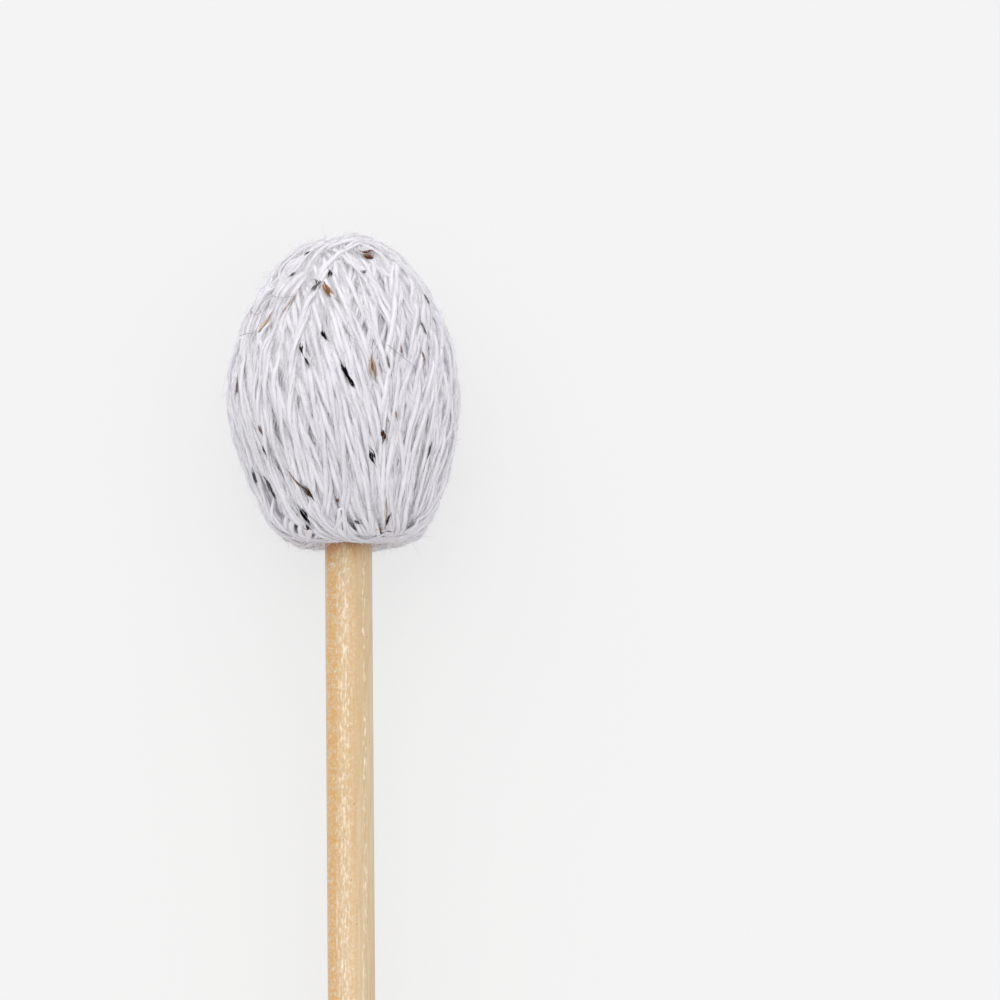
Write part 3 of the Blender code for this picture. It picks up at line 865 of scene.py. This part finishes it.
def fleckPlaces(random):
    # Polar angle, azimuth, heading, length, width and colour of every fleck: first those in the picture, each
    # on the strand nearest its place, and then scattered ones on the side that the camera doesn't see
    chosen = []
    for pixel, lean, length, width, colour in flecks["placed"]:
        index, section = strandNearest(pixel)
        polar, azimuth = strands[index]["place"][section]
        _, _, down = onHead(np.array(polar), np.array(azimuth))
        east = np.array([math.cos(azimuth), 0, -math.sin(azimuth)])
        direction = pictureDirection(lean)
        heading = math.atan2(direction @ east, direction @ down)
        chosen.append((polar, azimuth, heading, length, width, colour))
    outer = [(i, s) for i, strand in enumerate(strands) for s in np.flatnonzero(strand["lift"] > -0.5)[::7]]
    for pick in random.choice(len(outer), flecks["scattered"] * 4, replace=False):
        index, section = outer[pick]
        seen = strands[index]["normals"][section] @ np.array([0, -0.2, 1])
        if seen > -0.1 or len(chosen) >= flecks["scattered"] + len(flecks["placed"]):
            continue
        polar, azimuth = strands[index]["place"][section]
        colour = flecks["colours"][random.integers(len(flecks["colours"]))]
        heading = 0.8 * (random.random() - 0.5)
        length = between(flecks["lengths"], random.random())
        chosen.append((polar, azimuth, heading, length, between(flecks["widths"], random.random()), colour))
    return chosen


def makeFlecks():
    # Each fleck is a tuft of short dyed fibres that lie side by side over the winding along one direction and
    # draw together towards its ends. Some are thin tails that reach further out.
    random = np.random.default_rng(flecks["seed"])
    sections = np.linspace(-1, 1, flecks["tuftSections"])
    tubes, colours = [], []
    for polar, azimuth, heading, length, width, colour in fleckPlaces(random):
        bow = flecks["bow"] * width * (random.random() - 0.5)
        wedge = flecks["wedge"] * (random.random() - 0.5)
        blunt = between(flecks["blunt"], random.random())
        for number in range(flecks["tuft"]):
            first, last = -between(flecks["ends"], random.random()), between(flecks["ends"], random.random())
            tail = number < flecks["tails"]
            if tail:
                reach = between(flecks["tailReach"], random.random())
                first, last = (first, reach) if random.random() < 0.5 else (-reach, last)
            part = (first + last) / 2 + (last - first) / 2 * sections
            along = part * length / 2
            taper = np.maximum(1 - part ** 2, 0.02) ** blunt * (1 + wedge * part)
            aside = width / 2 * (2 * random.random() - 1) * taper + (1.6 if tail else 1) * bow * part ** 2
            polars, azimuths = beside(polar, azimuth, heading, along, aside)
            lift = draped(polars, azimuths, along, flecks["slope"])
            path, normal, _ = onHead(polars, azimuths, lift + flecks["above"] * (0.5 + random.random()))
            side = unit(np.cross(unit(np.gradient(path, axis=0)), normal))
            broader = 0 if tail else width * between(flecks["broader"], random.random())
            radii = (flecks["thickness"] + broader) * np.sqrt(np.maximum(1 - sections ** 2, 0.03))
            tubes.append(tubeMesh(path, normal, side, radii, 4, along))
            shade = flecks["dark"]["shade"]
            if random.random() >= flecks["dark"]["share"]:
                shade = between(flecks["shades"], random.random())
            shade = (shade * (1.15 - 0.4 * part ** 2))[:, None]
            tint = np.array(linear(colour)) * shade ** [1, 1, 1, 0]
            white = (1.6 * linear(colour)[1] * random.random(len(sections)) ** 2)[:, None]
            colours.append(np.repeat(between((tint, np.array(linear(flecks["white"]))), white), 4, axis=0))
    meshPoints, faces, corners = joined(tubes)
    colours = np.concatenate(colours)
    return newPiece("tweed_flecks", meshPoints, faces, dyedWool, corners, dye=colours)


makeFlecks()


# Loose fibres

fuzz = {
    # Lengths, thicknesses and lifts are in mm. Around is the angle of a ply's skin that carries fibres, in
    # radians. Turn, spread, bend and curl say how far chance changes a fibre's direction.
    "lying": {"pieces": 3, "fibres": 12500, "length": (1.2, 4.6), "thickness": 0.065, "sections": 3,
              "around": 3.6, "turn": 1.6, "lift": 0.02, "looseTip": 0.35},
    "standing": {"pieces": 2, "fibres": 11000, "length": (0.6, 2.6), "thickness": 0.042, "sections": 3,
                 "around": 2.4, "lift": -0.05, "rise": (0.15, 0.9), "spread": 0.7, "curl": 1.1,
                 "droop": 0.35},
    "veil": {"fibres": 13500, "length": (1.5, 5.5), "thickness": 0.055, "sections": 3, "samples": 7,
             "slope": 0.3, "spread": 0.35, "bend": 0.5, "lift": 0.03, "looseEnds": 0.35},
    # The winding is more brushed on this part of the head, given in degrees from the crown and round the axis
    "brushed": {"fibres": 5500, "polar": (12, 118), "azimuth": (-128, 22)},
    "inner": {"fibres": 4000, "length": (2.5, 6.0), "thickness": 0.13, "sections": 3, "depth": 0.3,
              "spread": 1.1, "bend": 0.5},
    "stray": {"fibres": 130, "length": (4.0, 9.0), "thickness": 0.040, "sections": 13,
              "polar": (0.35, 2.65), "bend": 2.2, "sway": 0.5, "lift": (0.75, 1.25), "wave": 0.35},
    # Grey hairs pulled out of the yarn, by their places in the picture
    "pulled": [[(257, 311), (261, 303), (272, 296), (281, 298), (291, 297), (299, 296)],
               [(240, 336), (245, 334), (255, 333), (260, 322), (262, 314)],
               [(253, 306), (250, 311), (256, 315), (261, 312), (259, 304)],
               [(388, 345), (396, 352), (404, 358), (414, 366), (416, 375)]],
    "pulledThickness": 0.15,  # mm
    "pulledTone": 0.14,
    "greyShare": 0.10,
    "brownShare": 0.012,
    "veilShare": 1 / 3,       # a veil has this part of as many grey and brown fibres
    "deepest": -1.1,          # mm under the outline of the lowest ply that carries fibres
    "seed": 8,
}


def fibreMesh(path, thickness):
    # Three-sided tapered tubes round whole sets of paths, closed at their feet and tips
    count, sections = path.shape[:2]
    tangent = unit(np.gradient(path, axis=1))
    across = unit(np.cross(tangent, np.array([0.31, 0.52, 0.79])))
    other = np.cross(tangent, across)
    radii = thickness / 2 * np.linspace(1, 0.45, sections)
    angles = np.arange(3) * math.tau / 3
    ring = np.cos(angles)[:, None] * across[:, :, None, :] + np.sin(angles)[:, None] * other[:, :, None, :]
    points = path[:, :, None, :] + radii[None, :, None, None] * ring
    starts = (np.arange(count) * sections * 3)[:, None]
    foot = starts + np.array([2, 1, 0])
    tip = starts + (sections - 1) * 3 + np.arange(3)
    quads = ringQuads(starts + np.arange(sections - 1) * 3, 3)
    return points.reshape(-1, 3), [quads, np.concatenate([foot, tip])]


def fibrePiece(name, path, thickness, random, share=1, tones=None):
    # Most fibres are white, some are grey and a few brown, by their tone. A share under 1 makes those rarer,
    # and tones that are given take the place of all this.
    count, sections = path.shape[:2]
    if tones is None:
        kind = random.random(count) / share
        tones = 0.5 + 0.5 * random.random(count)
        tones = np.where(kind < fuzz["greyShare"], 0.2 + 0.1 * random.random(count), tones)
        tones = np.where(kind < fuzz["brownShare"], 0.05 * random.random(count), tones)
    points, faces = fibreMesh(path, thickness)
    piece = newPiece(name, points, faces, fibreWool, tone=np.repeat(tones, sections * 3))
    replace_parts(piece, "yarn_winding")


def onPly(lines, index, around, lift):
    # A place on a ply's skin: its middle line plus its half-width and the lift, at an angle from its normal
    radial = yarn["plyFlatness"] * np.cos(around)[..., None] * lines["normal"][index]
    radial = radial + np.sin(around)[..., None] * lines["side"][index]
    return lines["middle"][index] + radial * (lines["radii"][index] + lift)[..., None]


def column(values):
    return values[:, None]


def pickFibres(lines, settings, random):
    # Random outer sections of the plies, how many sections each fibre spans, and the fibres' lengths
    count = settings["fibres"]
    lengths = between(settings["length"], random.random(count) ** 1.6)
    outer = np.flatnonzero(lines["outer"])
    start = outer[random.integers(len(outer), size=count)]
    spans = np.maximum(1, np.rint(lengths / yarn["sectionStep"])).astype(int)
    return start, spans, lengths


def makeLying(lines, random):
    # A lying fibre follows its ply and turns slowly round it, with one end or both a little loose
    settings = fuzz["lying"]
    part = np.linspace(0, 1, settings["sections"])
    for number in range(settings["pieces"]):
        start, spans, _ = pickFibres(lines, settings, random)
        count = len(start)
        index = start[:, None] + np.rint(part * spans[:, None]).astype(int)
        index = np.minimum(index, lines["last"][start][:, None])
        around = column((random.random(count) - 0.5) * settings["around"])
        around = around + part * column((random.random(count) - 0.5) * settings["turn"])
        loose = settings["looseTip"] * random.random((count, 2)) ** 2
        lift = settings["lift"] + loose[:, :1] * (1 - part) ** 2 + loose[:, 1:] * part ** 2
        path = onPly(lines, index, around, lift)
        fibrePiece(f"loose_fibres_{number + 1}", path, settings["thickness"], random)


def makeStanding(lines, random):
    # A standing fibre leaves its ply at a slant and curls: foot + part * length * (direction + part * bend)
    settings = fuzz["standing"]
    part = np.linspace(0, 1, settings["sections"])[None, :, None]
    for number in range(settings["pieces"]):
        start, _, lengths = pickFibres(lines, settings, random)
        count = len(start)
        around = (random.random(count) - 0.5) * settings["around"]
        foot = onPly(lines, start, around, np.full(count, settings["lift"]))
        after = np.minimum(start + 1, lines["last"][start])
        ahead = unit(lines["middle"][after] - lines["middle"][start] + 1e-9)
        ahead = ahead * column(np.where(random.random(count) < 0.5, -1, 1))
        normal = lines["normal"][start]
        rise = column(between(settings["rise"], random.random(count) ** 2))
        directions = unit(ahead + rise * normal + settings["spread"] * (random.random((count, 3)) - 0.5))
        bends = settings["curl"] * (random.random((count, 3)) - 0.5) - settings["droop"] * rise * normal
        curled = directions[:, None, :] + part * bends[:, None, :]
        path = foot[:, None, :] + part * lengths[:, None, None] * curled
        fibrePiece(f"standing_fibres_{number + 1}", path, settings["thickness"], random)


def spreadPlaces(count, random):
    # Places all over the head down to the neck, denser towards the crown
    polar = np.arccos(1 - 1.93 * random.random(count) ** 1.4)
    return column(polar), column(math.tau * random.random(count))


def makeVeil(name, polar, azimuth, random):
    # Fibres that lie over the winding from strand to strand, near the way the yarn runs, their ends a little
    # loose
    settings = fuzz["veil"]
    count = len(polar)
    heading = column(settings["spread"] * random.normal(size=count))
    length = column(between(settings["length"], random.random(count)))
    part = np.linspace(-0.5, 0.5, settings["samples"])
    bend = column((random.random(count) - 0.5) * settings["bend"])
    polars, azimuths = beside(polar, azimuth, heading, part * length, bend * length * part ** 2)
    loose = settings["looseEnds"] * (random.random((count, 1)) + random.random((count, 1)) - 1)
    lift = draped(polars, azimuths, part * length, settings["slope"]) + settings["lift"]
    lift = lift + loose * part + np.abs(loose) * (2 * part) ** 2 * 0.6
    picked = np.linspace(0, settings["samples"] - 1, settings["sections"]).astype(int)
    path, _, _ = onHead(polars[:, picked], azimuths[:, picked], lift[:, picked])
    fibrePiece(name, path, settings["thickness"], random, fuzz["veilShare"])


def brushedPlaces(random):
    # Places in the brushed part, fewer towards its edges
    settings = fuzz["brushed"]
    places = []
    for limits in (settings["polar"], settings["azimuth"]):
        share = (random.random(settings["fibres"]) + random.random(settings["fibres"])) / 2
        places.append(column(np.radians(between(limits, share))))
    return places


def makeInner(random):
    # Fibres that lie along the wool under the winding, which shows through its gaps
    settings = fuzz["inner"]
    count = settings["fibres"]
    polar, azimuth = spreadPlaces(count, random)
    length = column(between(settings["length"], random.random(count)))
    part = np.linspace(-0.5, 0.5, settings["sections"])
    bend = column((random.random(count) - 0.5) * settings["bend"])
    heading = column(settings["spread"] * (random.random(count) - 0.5))
    polars, azimuths = beside(polar, azimuth, heading, part * length, bend * length * part ** 2)
    under = pressed(-onField(heap, polars, azimuths), polars)
    rise = settings["depth"] * (random.random((count, 1)) * 2 - 0.4)
    path, _, _ = onHead(polars, azimuths, rise + under)
    fibrePiece("inner_fibres", path, settings["thickness"], random)


def pulledHair(places, sections):
    # A hair through these places in the picture, laid over the side of the head that faces the camera
    polar, azimuth = np.meshgrid(np.linspace(0.1, 2.6, 300), np.linspace(-1.6, 1.6, 300), indexing="ij")
    surface = onHead(polar, azimuth, polar * 0 + 0.9)[0].reshape(-1, 3)
    seen, _ = pixelOf(surface)
    path = np.array([surface[np.argmin(np.hypot(*(seen - np.array(place)).T))] for place in places])
    at = np.linspace(0, len(path) - 1, sections)
    return np.stack([np.interp(at, np.arange(len(path)), path[:, i]) for i in range(3)], axis=-1)


def makeStrays(random):
    # Long hairs pulled out of the yarn: arcs that lie just over the head and wave a little from side to side
    settings = fuzz["stray"]
    count = settings["fibres"]
    part = np.linspace(0, 1, settings["sections"])
    step = column(between(settings["length"], random.random(count))) / (len(part) - 1)
    polar = column(between(settings["polar"], random.random(count)))
    azimuth = column(math.tau * random.random(count))
    heading = column(math.tau * random.random(count))
    heading = heading + part * column((random.random(count) - 0.5) * settings["bend"])
    heading = heading + settings["sway"] * np.sin(part * 7 + column(random.random(count) * 6))
    polar = polar + np.cumsum(step * np.cos(heading), axis=1) / outline["crown"]
    polar = np.clip(polar, *polarLimits)
    azimuth = azimuth + np.cumsum(step * np.sin(heading), axis=1) / np.maximum(outlineAt(polar)[0], 4.0)
    lift = column(between(settings["lift"], random.random(count)))
    lift = lift + settings["wave"] * np.sin(part * 5 + column(random.random(count) * 6))
    path, _, _ = onHead(polar, azimuth, lift)
    fibrePiece("stray_hairs", path, settings["thickness"], random)
    pulled = np.stack([pulledHair(places, settings["sections"]) for places in fuzz["pulled"]])
    greys = np.full(len(pulled), fuzz["pulledTone"])
    fibrePiece("pulled_hairs", pulled, fuzz["pulledThickness"], random, tones=greys)


def fibreMaterial():
    # Single fibres that stand off the yarn: matt, undyed white, some grey or brown, and too thin to hold any
    # pattern but their own tone
    material, tree = newMaterial("merino_wool_fibre")
    tone = addNode(tree, "ShaderNodeAttribute", {"attribute_name": "tone"})
    # Its whites are lighter than the yarn's plies of the same wool: painted light that makes up for the shade
    # thin fibres cast on one another
    stops = [(0.0, "#80604a"), (0.12, "#948a88"), (0.22, "#b4b0b6"), (0.45, "#f3f1f6"), (1.0, "#fdfcff")]
    colour = addNode(tree, "ShaderNodeValToRGB", {"stops": stops}, {"Fac": tone.outputs["Fac"]})
    shader = addNode(tree, "ShaderNodeBsdfPrincipled",
                     {"Roughness": 0.8, "IOR": 1.45, "Specular IOR Level": 0.2, "Sheen Weight": 0.3},
                     {"Base Color": colour.outputs["Color"]})
    finishMaterial(tree, shader)
    return material


fibreWool = fibreMaterial()
plies = {key: np.concatenate([line[key] for line in plyLines]) for key in plyLines[0]}
plyCounts = [len(line["middle"]) for line in plyLines]
plies["last"] = np.repeat(np.cumsum(plyCounts) - 1, plyCounts)
plies["outer"] = np.concatenate([np.tile(strand["lift"], 2) for strand in strands]) > fuzz["deepest"]
fibreRandom = np.random.default_rng(fuzz["seed"])
makeLying(plies, fibreRandom)
makeStanding(plies, fibreRandom)
makeVeil("veil_fibres", *spreadPlaces(fuzz["veil"]["fibres"], fibreRandom), fibreRandom)
makeVeil("veil_fibres_brushed", *brushedPlaces(fibreRandom), fibreRandom)
makeInner(fibreRandom)
makeStrays(fibreRandom)


# Birch handle

birch = {
    "pale": "#d0bb9b", "tan": "#c4aa81", "speckle": "#cb9852", "gleam": "#f6ead4", "pore": "#8f6838",
    # The last colour here tints the painted shadow that the head casts on the handle
    "ring": "#c29a66", "fibre": "#dcc9ae", "yarnShadowTint": "#e2c6a2",
    "yarnPlace": 366.0,     # mm from the butt to the yarn
    "yarnShade": 4.0,       # mm over which the painted shadow of the head darkens the lacquer under the yarn
    "radius": 4.0,          # mm
    "ringSpacing": 1.5,     # mm
    "ringTilt": (3.0, 5.0),     # degrees, up and to the side
    "ringMiddle": (34.0, 0.0, -18.0),   # mm
    "wander": 0.9,          # mm that a growth layer strays sideways along the handle
    # How thick speckle, grain and pale dashes stand in the growth layers, from left to right in the dowel
    "speckled": [(0.00, "#606060"), (0.06, "#ffffff"), (0.23, "#f0f0f0"), (0.27, "#202020"),
                 (0.30, "#e0e0e0"), (0.33, "#181818"), (0.44, "#303030"), (0.52, "#b0b0b0"),
                 (0.64, "#a0a0a0"), (0.72, "#303030"), (1.00, "#404040")],
    "grained": [(0.00, "#c0c0c0"), (0.50, "#d0d0d0"), (0.66, "#606060"), (1.00, "#404040")],
    "dashed": [(0.00, "#303030"), (0.22, "#404040"), (0.34, "#c0c0c0"), (0.46, "#b0b0b0"), (0.55, "#303030"),
               (0.74, "#202020"), (0.79, "#e0e0e0"), (0.84, "#202020")],
}


def birchMaterial():
    # Turned birch dowel under a satin lacquer: pale tan with fine lengthwise fibre lines, yellow-brown dashes
    # where pores and rays are cut, crowded in some growth layers, a few soft ring lines at a shallow slope,
    # and a broad gleam. Pores are 0.1 mm wide, too fine to show, so they are drawn 0.3 mm wide.
    material, tree = newMaterial("birch_satin_lacquer")
    place = addNode(tree, "ShaderNodeTexCoord", {})
    local = addNode(tree, "ShaderNodeMapping",
                    {"vector_type": "TEXTURE", "Location": tuple(buttCentre), "Rotation": (headTilt, 0, 0),
                     "Scale": (0.001, 0.001, 0.001)}, {"Vector": place.outputs["Object"]})
    millimetres = local.outputs["Vector"]

    def noise(across, along, detail, roughness=0.5, shift=0.0):
        # Noise whose grains are this wide and this long, in mm
        scaled = addNode(tree, "ShaderNodeMapping",
                         {"Scale": (1 / across, 1 / along, 1 / across), "Location": (shift, shift, shift)},
                         {"Vector": millimetres})
        return addNode(tree, "ShaderNodeTexNoise", {"Scale": 1.0, "Detail": detail, "Roughness": roughness},
                       {"Vector": scaled.outputs["Vector"]}).outputs["Fac"]

    def ranged(value, low, high, lowest=0.0, highest=1.0):
        return addNode(tree, "ShaderNodeMapRange",
                       {"From Min": low, "From Max": high, "To Min": lowest, "To Max": highest},
                       {"Value": value}).outputs["Result"]

    def mixed(share, first, second, kind="MIX"):
        # The second colour is a hex code or another node's output
        settings, links = {"data_type": "RGBA", "blend_type": kind}, {0: share, 6: first}
        if isinstance(second, str):
            settings[7] = linear(second)
        else:
            links[7] = second
        return addNode(tree, "ShaderNodeMix", settings, links).outputs[2]

    def worked(operation, first, second):
        return addNode(tree, "ShaderNodeMath", {"operation": operation}, {0: first, 1: second}).outputs[0]

    def times(first, second):
        return worked("MULTIPLY", first, second)

    def ramp(stops, value):
        return addNode(tree, "ShaderNodeValToRGB", {"stops": stops}, {"Fac": value}).outputs["Color"]

    # Growth layers run through the dowel as slabs, so a layer is known by how far to the right it lies
    sideways = addNode(tree, "ShaderNodeSeparateXYZ", {}, {"Vector": millimetres}).outputs["X"]
    stray = ranged(noise(7.0, 45.0, 1.0, 0.5, 4.0), 0.2, 0.8, -birch["wander"] / 2, birch["wander"] / 2)
    layer = ranged(worked("ADD", sideways, stray), -birch["radius"], birch["radius"])
    clouds = noise(5.0, 60.0, 3.0)
    ground = ramp([(0.30, birch["tan"]), (0.70, birch["pale"])], clouds)
    fibres = noise(0.24, 12.0, 3.0, 0.6, 3.1)
    lines = ramp([(0.30, birch["fibre"]), (0.62, "#ffffff")], fibres)
    striped = mixed(ranged(clouds, 0.2, 0.8, 0.25, 0.6), ground, lines, "MULTIPLY")
    calm = ramp(birch["grained"], layer)
    grain = noise(0.42, 0.75, 2.0, 0.5, 9.0)
    grained = mixed(times(ranged(grain, 0.52, 0.80, 0.0, 0.9), calm), striped, birch["speckle"])
    bright = mixed(times(ranged(grain, 0.48, 0.22, 0.0, 0.8), calm), grained, birch["gleam"])
    speckledLayer = ramp(birch["speckled"], layer)
    dashes = ranged(noise(0.42, 0.46, 1.0, 0.5, 7.7), 0.46, 0.62)
    ladders = ranged(noise(1.5, 0.42, 1.0, 0.5, 14.0), 0.50, 0.62)
    speckled = mixed(times(worked("MAXIMUM", dashes, ladders), speckledLayer), bright, birch["speckle"])
    glints = ranged(noise(0.36, 1.5, 1.0, 0.5, 17.0), 0.52, 0.68)
    lighter = mixed(times(glints, ramp(birch["dashed"], layer)), speckled, birch["gleam"])
    pores = ranged(noise(0.34, 0.6, 0.0, 0.5, 30.0), 0.82, 0.88, 0.0, 0.8)
    pored = mixed(pores, lighter, birch["pore"])
    up, aside = (math.radians(angle) for angle in birch["ringTilt"])
    tilted = addNode(tree, "ShaderNodeMapping", {"Location": birch["ringMiddle"], "Rotation": (up, 0, aside)},
                     {"Vector": millimetres})
    # A wave texture at scale 1 has a ring every 0.31 units
    rings = addNode(tree, "ShaderNodeTexWave",
                    {"wave_type": "RINGS", "rings_direction": "Y", "wave_profile": "SAW",
                     "Scale": 1 / birch["ringSpacing"] * 0.31, "Distortion": 1.2, "Detail": 1.0,
                     "Detail Scale": 0.6},
                    {"Vector": tilted.outputs["Vector"]})
    late = ranged(rings.outputs["Fac"], 0.80, 1.0, 0.0, 0.5)
    patchy = ranged(noise(3.0, 40.0, 1.0, 0.5, 21.0), 0.45, 0.62)
    ringed = mixed(times(late, patchy), pored, birch["ring"])
    # Painted shadow: the lacquer is drawn darker and warmer in the last millimetres before the yarn, where
    # the head shades the handle
    towardsYarn = addNode(tree, "ShaderNodeSeparateXYZ", {}, {"Vector": millimetres}).outputs["Y"]
    ragged = ranged(noise(1.6, 9.0, 1.0, 0.5, 40.0), 0.3, 0.7, -1.2, 1.2)
    yarnPlace = birch["yarnPlace"]
    near = ranged(worked("ADD", towardsYarn, ragged), yarnPlace - birch["yarnShade"], yarnPlace)
    shadedUnderYarn = mixed(near, ringed, birch["yarnShadowTint"], "MULTIPLY")
    relief = addNode(tree, "ShaderNodeBump", {"Strength": 0.15, "Distance": 0.0001}, {"Height": fibres})
    shader = addNode(tree, "ShaderNodeBsdfPrincipled",
                     {"IOR": 1.5, "Roughness": 0.42, "Specular IOR Level": 0.5, "Coat Weight": 0.25,
                      "Coat Roughness": 0.3},
                     {"Base Color": shadedUnderYarn, "Normal": relief.outputs["Normal"]})
    finishMaterial(tree, shader)
    return material


def assign(node, material):
    for slot in frame["nodes"][node].material_slots:
        slot.material = material


assign("handle", birchMaterial())


def rubberMaterial(name, colour, darker, roughness, grain):
    # Moulded rubber and dipped latex: matt, with a fine mottle of the size given in mm
    material, tree = newMaterial(name)
    place = addNode(tree, "ShaderNodeTexCoord", {})
    mottle = addNode(tree, "ShaderNodeTexNoise", {"Scale": 1000 / grain, "Detail": 4.0},
                     {"Vector": place.outputs["Object"]}).outputs["Fac"]
    tint = addNode(tree, "ShaderNodeValToRGB", {"stops": [(0.3, darker), (0.7, colour)]}, {"Fac": mottle})
    relief = addNode(tree, "ShaderNodeBump", {"Strength": 0.2, "Distance": 0.00005}, {"Height": mottle})
    shader = addNode(tree, "ShaderNodeBsdfPrincipled", {"Roughness": roughness, "IOR": 1.52},
                     {"Base Color": tint.outputs["Color"], "Normal": relief.outputs["Normal"]})
    finishMaterial(tree, shader)
    return material


assign("rubber_core", rubberMaterial("natural_rubber_moulded", "#3c3a38", "#2a2827", 0.8, 0.6))
assign("latex_sleeve", rubberMaterial("latex_tube_amber", "#d2b07a", "#b8935c", 0.55, 1.5))


# Floor and light

studio = {
    "floorColour": "#eeeeee",
    "floorSize": 12.0,      # m
    "floorGlow": 0.80,      # share of the floor's shown colour that no lamp gives, so that shadows stay pale
    "skyStrength": 0.86,
    # Watts, metres across, and place in metres from a point 50 mm towards the butt from the head
    "lamps": {
        "key_softbox": {"power": 38.0, "size": 4.0, "place": (-0.45, 1.8, 1.55)},
        "fill_softbox": {"power": 6.0, "size": 1.8, "place": (0.8, 0.0, 2.0)},
        "gleam_softbox": {"power": 3.0, "size": 0.7, "place": (-0.45, 0.27, 2.0)},
    },
}


def seenDirectly(tree):
    # 1 for the camera's own rays and for what a gloss or glass shows, 0 for the rays that light the object
    path = addNode(tree, "ShaderNodeLightPath", {})
    direct = addNode(tree, "ShaderNodeMath", {"operation": "MAXIMUM"},
                     {0: path.outputs["Is Camera Ray"], 1: path.outputs["Is Transmission Ray"]})
    return addNode(tree, "ShaderNodeMath", {"operation": "MAXIMUM"},
                   {0: direct.outputs[0], 1: path.outputs["Is Glossy Ray"]}).outputs[0]


def makeFloor():
    half = studio["floorSize"] / 2
    mesh = bpy.data.meshes.new("studio_floor")
    corners = [(-half, -half, 0), (half, -half, 0), (half, half, 0), (-half, half, 0)]
    mesh.from_pydata(corners, [], [(0, 1, 2, 3)])
    floor = bpy.data.objects.new("studio_floor", mesh)
    bpy.context.scene.collection.objects.link(floor)
    colour = linear(studio["floorColour"])
    material, tree = newMaterial("paper_backdrop")
    shader = addNode(tree, "ShaderNodeBsdfPrincipled",
                     {"Base Color": colour, "Roughness": 0.95, "Specular IOR Level": 0.0})
    paper = addNode(tree, "ShaderNodeEmission", {"Color": colour, "Strength": 1.0})
    shown = addNode(tree, "ShaderNodeMath", {"operation": "MULTIPLY", 1: studio["floorGlow"]},
                    {0: seenDirectly(tree)})
    mix = addNode(tree, "ShaderNodeMixShader", {},
                  {0: shown.outputs[0], 1: shader.outputs[0], 2: paper.outputs[0]})
    finishMaterial(tree, mix)
    mesh.materials.append(material)


def makeLamp(name, power, size, place):
    # A round softbox that points at the head
    data = bpy.data.lights.new(name, "AREA")
    data.shape = "DISK"
    data.size = size
    data.energy = power
    lamp = bpy.data.objects.new(name, data)
    bpy.context.scene.collection.objects.link(lamp)
    stand = np.array(place) + np.array([headCentre[0], headCentre[1] - 0.05, 0])
    lamp.location = stand
    lamp.rotation_euler = Vector(list(stand - headCentre)).to_track_quat("Z", "Y").to_euler()


def makeWorld():
    # The sky lights the object, and shows itself only as the floor's colour
    world = bpy.data.worlds.new("soft_studio")
    bpy.context.scene.world = world
    world.use_nodes = True
    tree = world.node_tree
    tree.nodes.clear()
    lit = addNode(tree, "ShaderNodeBackground",
                  {"Color": linear("#ffffff"), "Strength": studio["skyStrength"]})
    shown = addNode(tree, "ShaderNodeBackground", {"Color": linear(studio["floorColour"]), "Strength": 1.0})
    mix = addNode(tree, "ShaderNodeMixShader", {},
                  {0: seenDirectly(tree), 1: lit.outputs[0], 2: shown.outputs[0]})
    output = tree.nodes.new("ShaderNodeOutputWorld")
    tree.links.new(mix.outputs[0], output.inputs["Surface"])


makeFloor()
for name, lamp in studio["lamps"].items():
    makeLamp(name, **lamp)
makeWorld()
bpy.context.scene.view_settings.view_transform = "Standard"
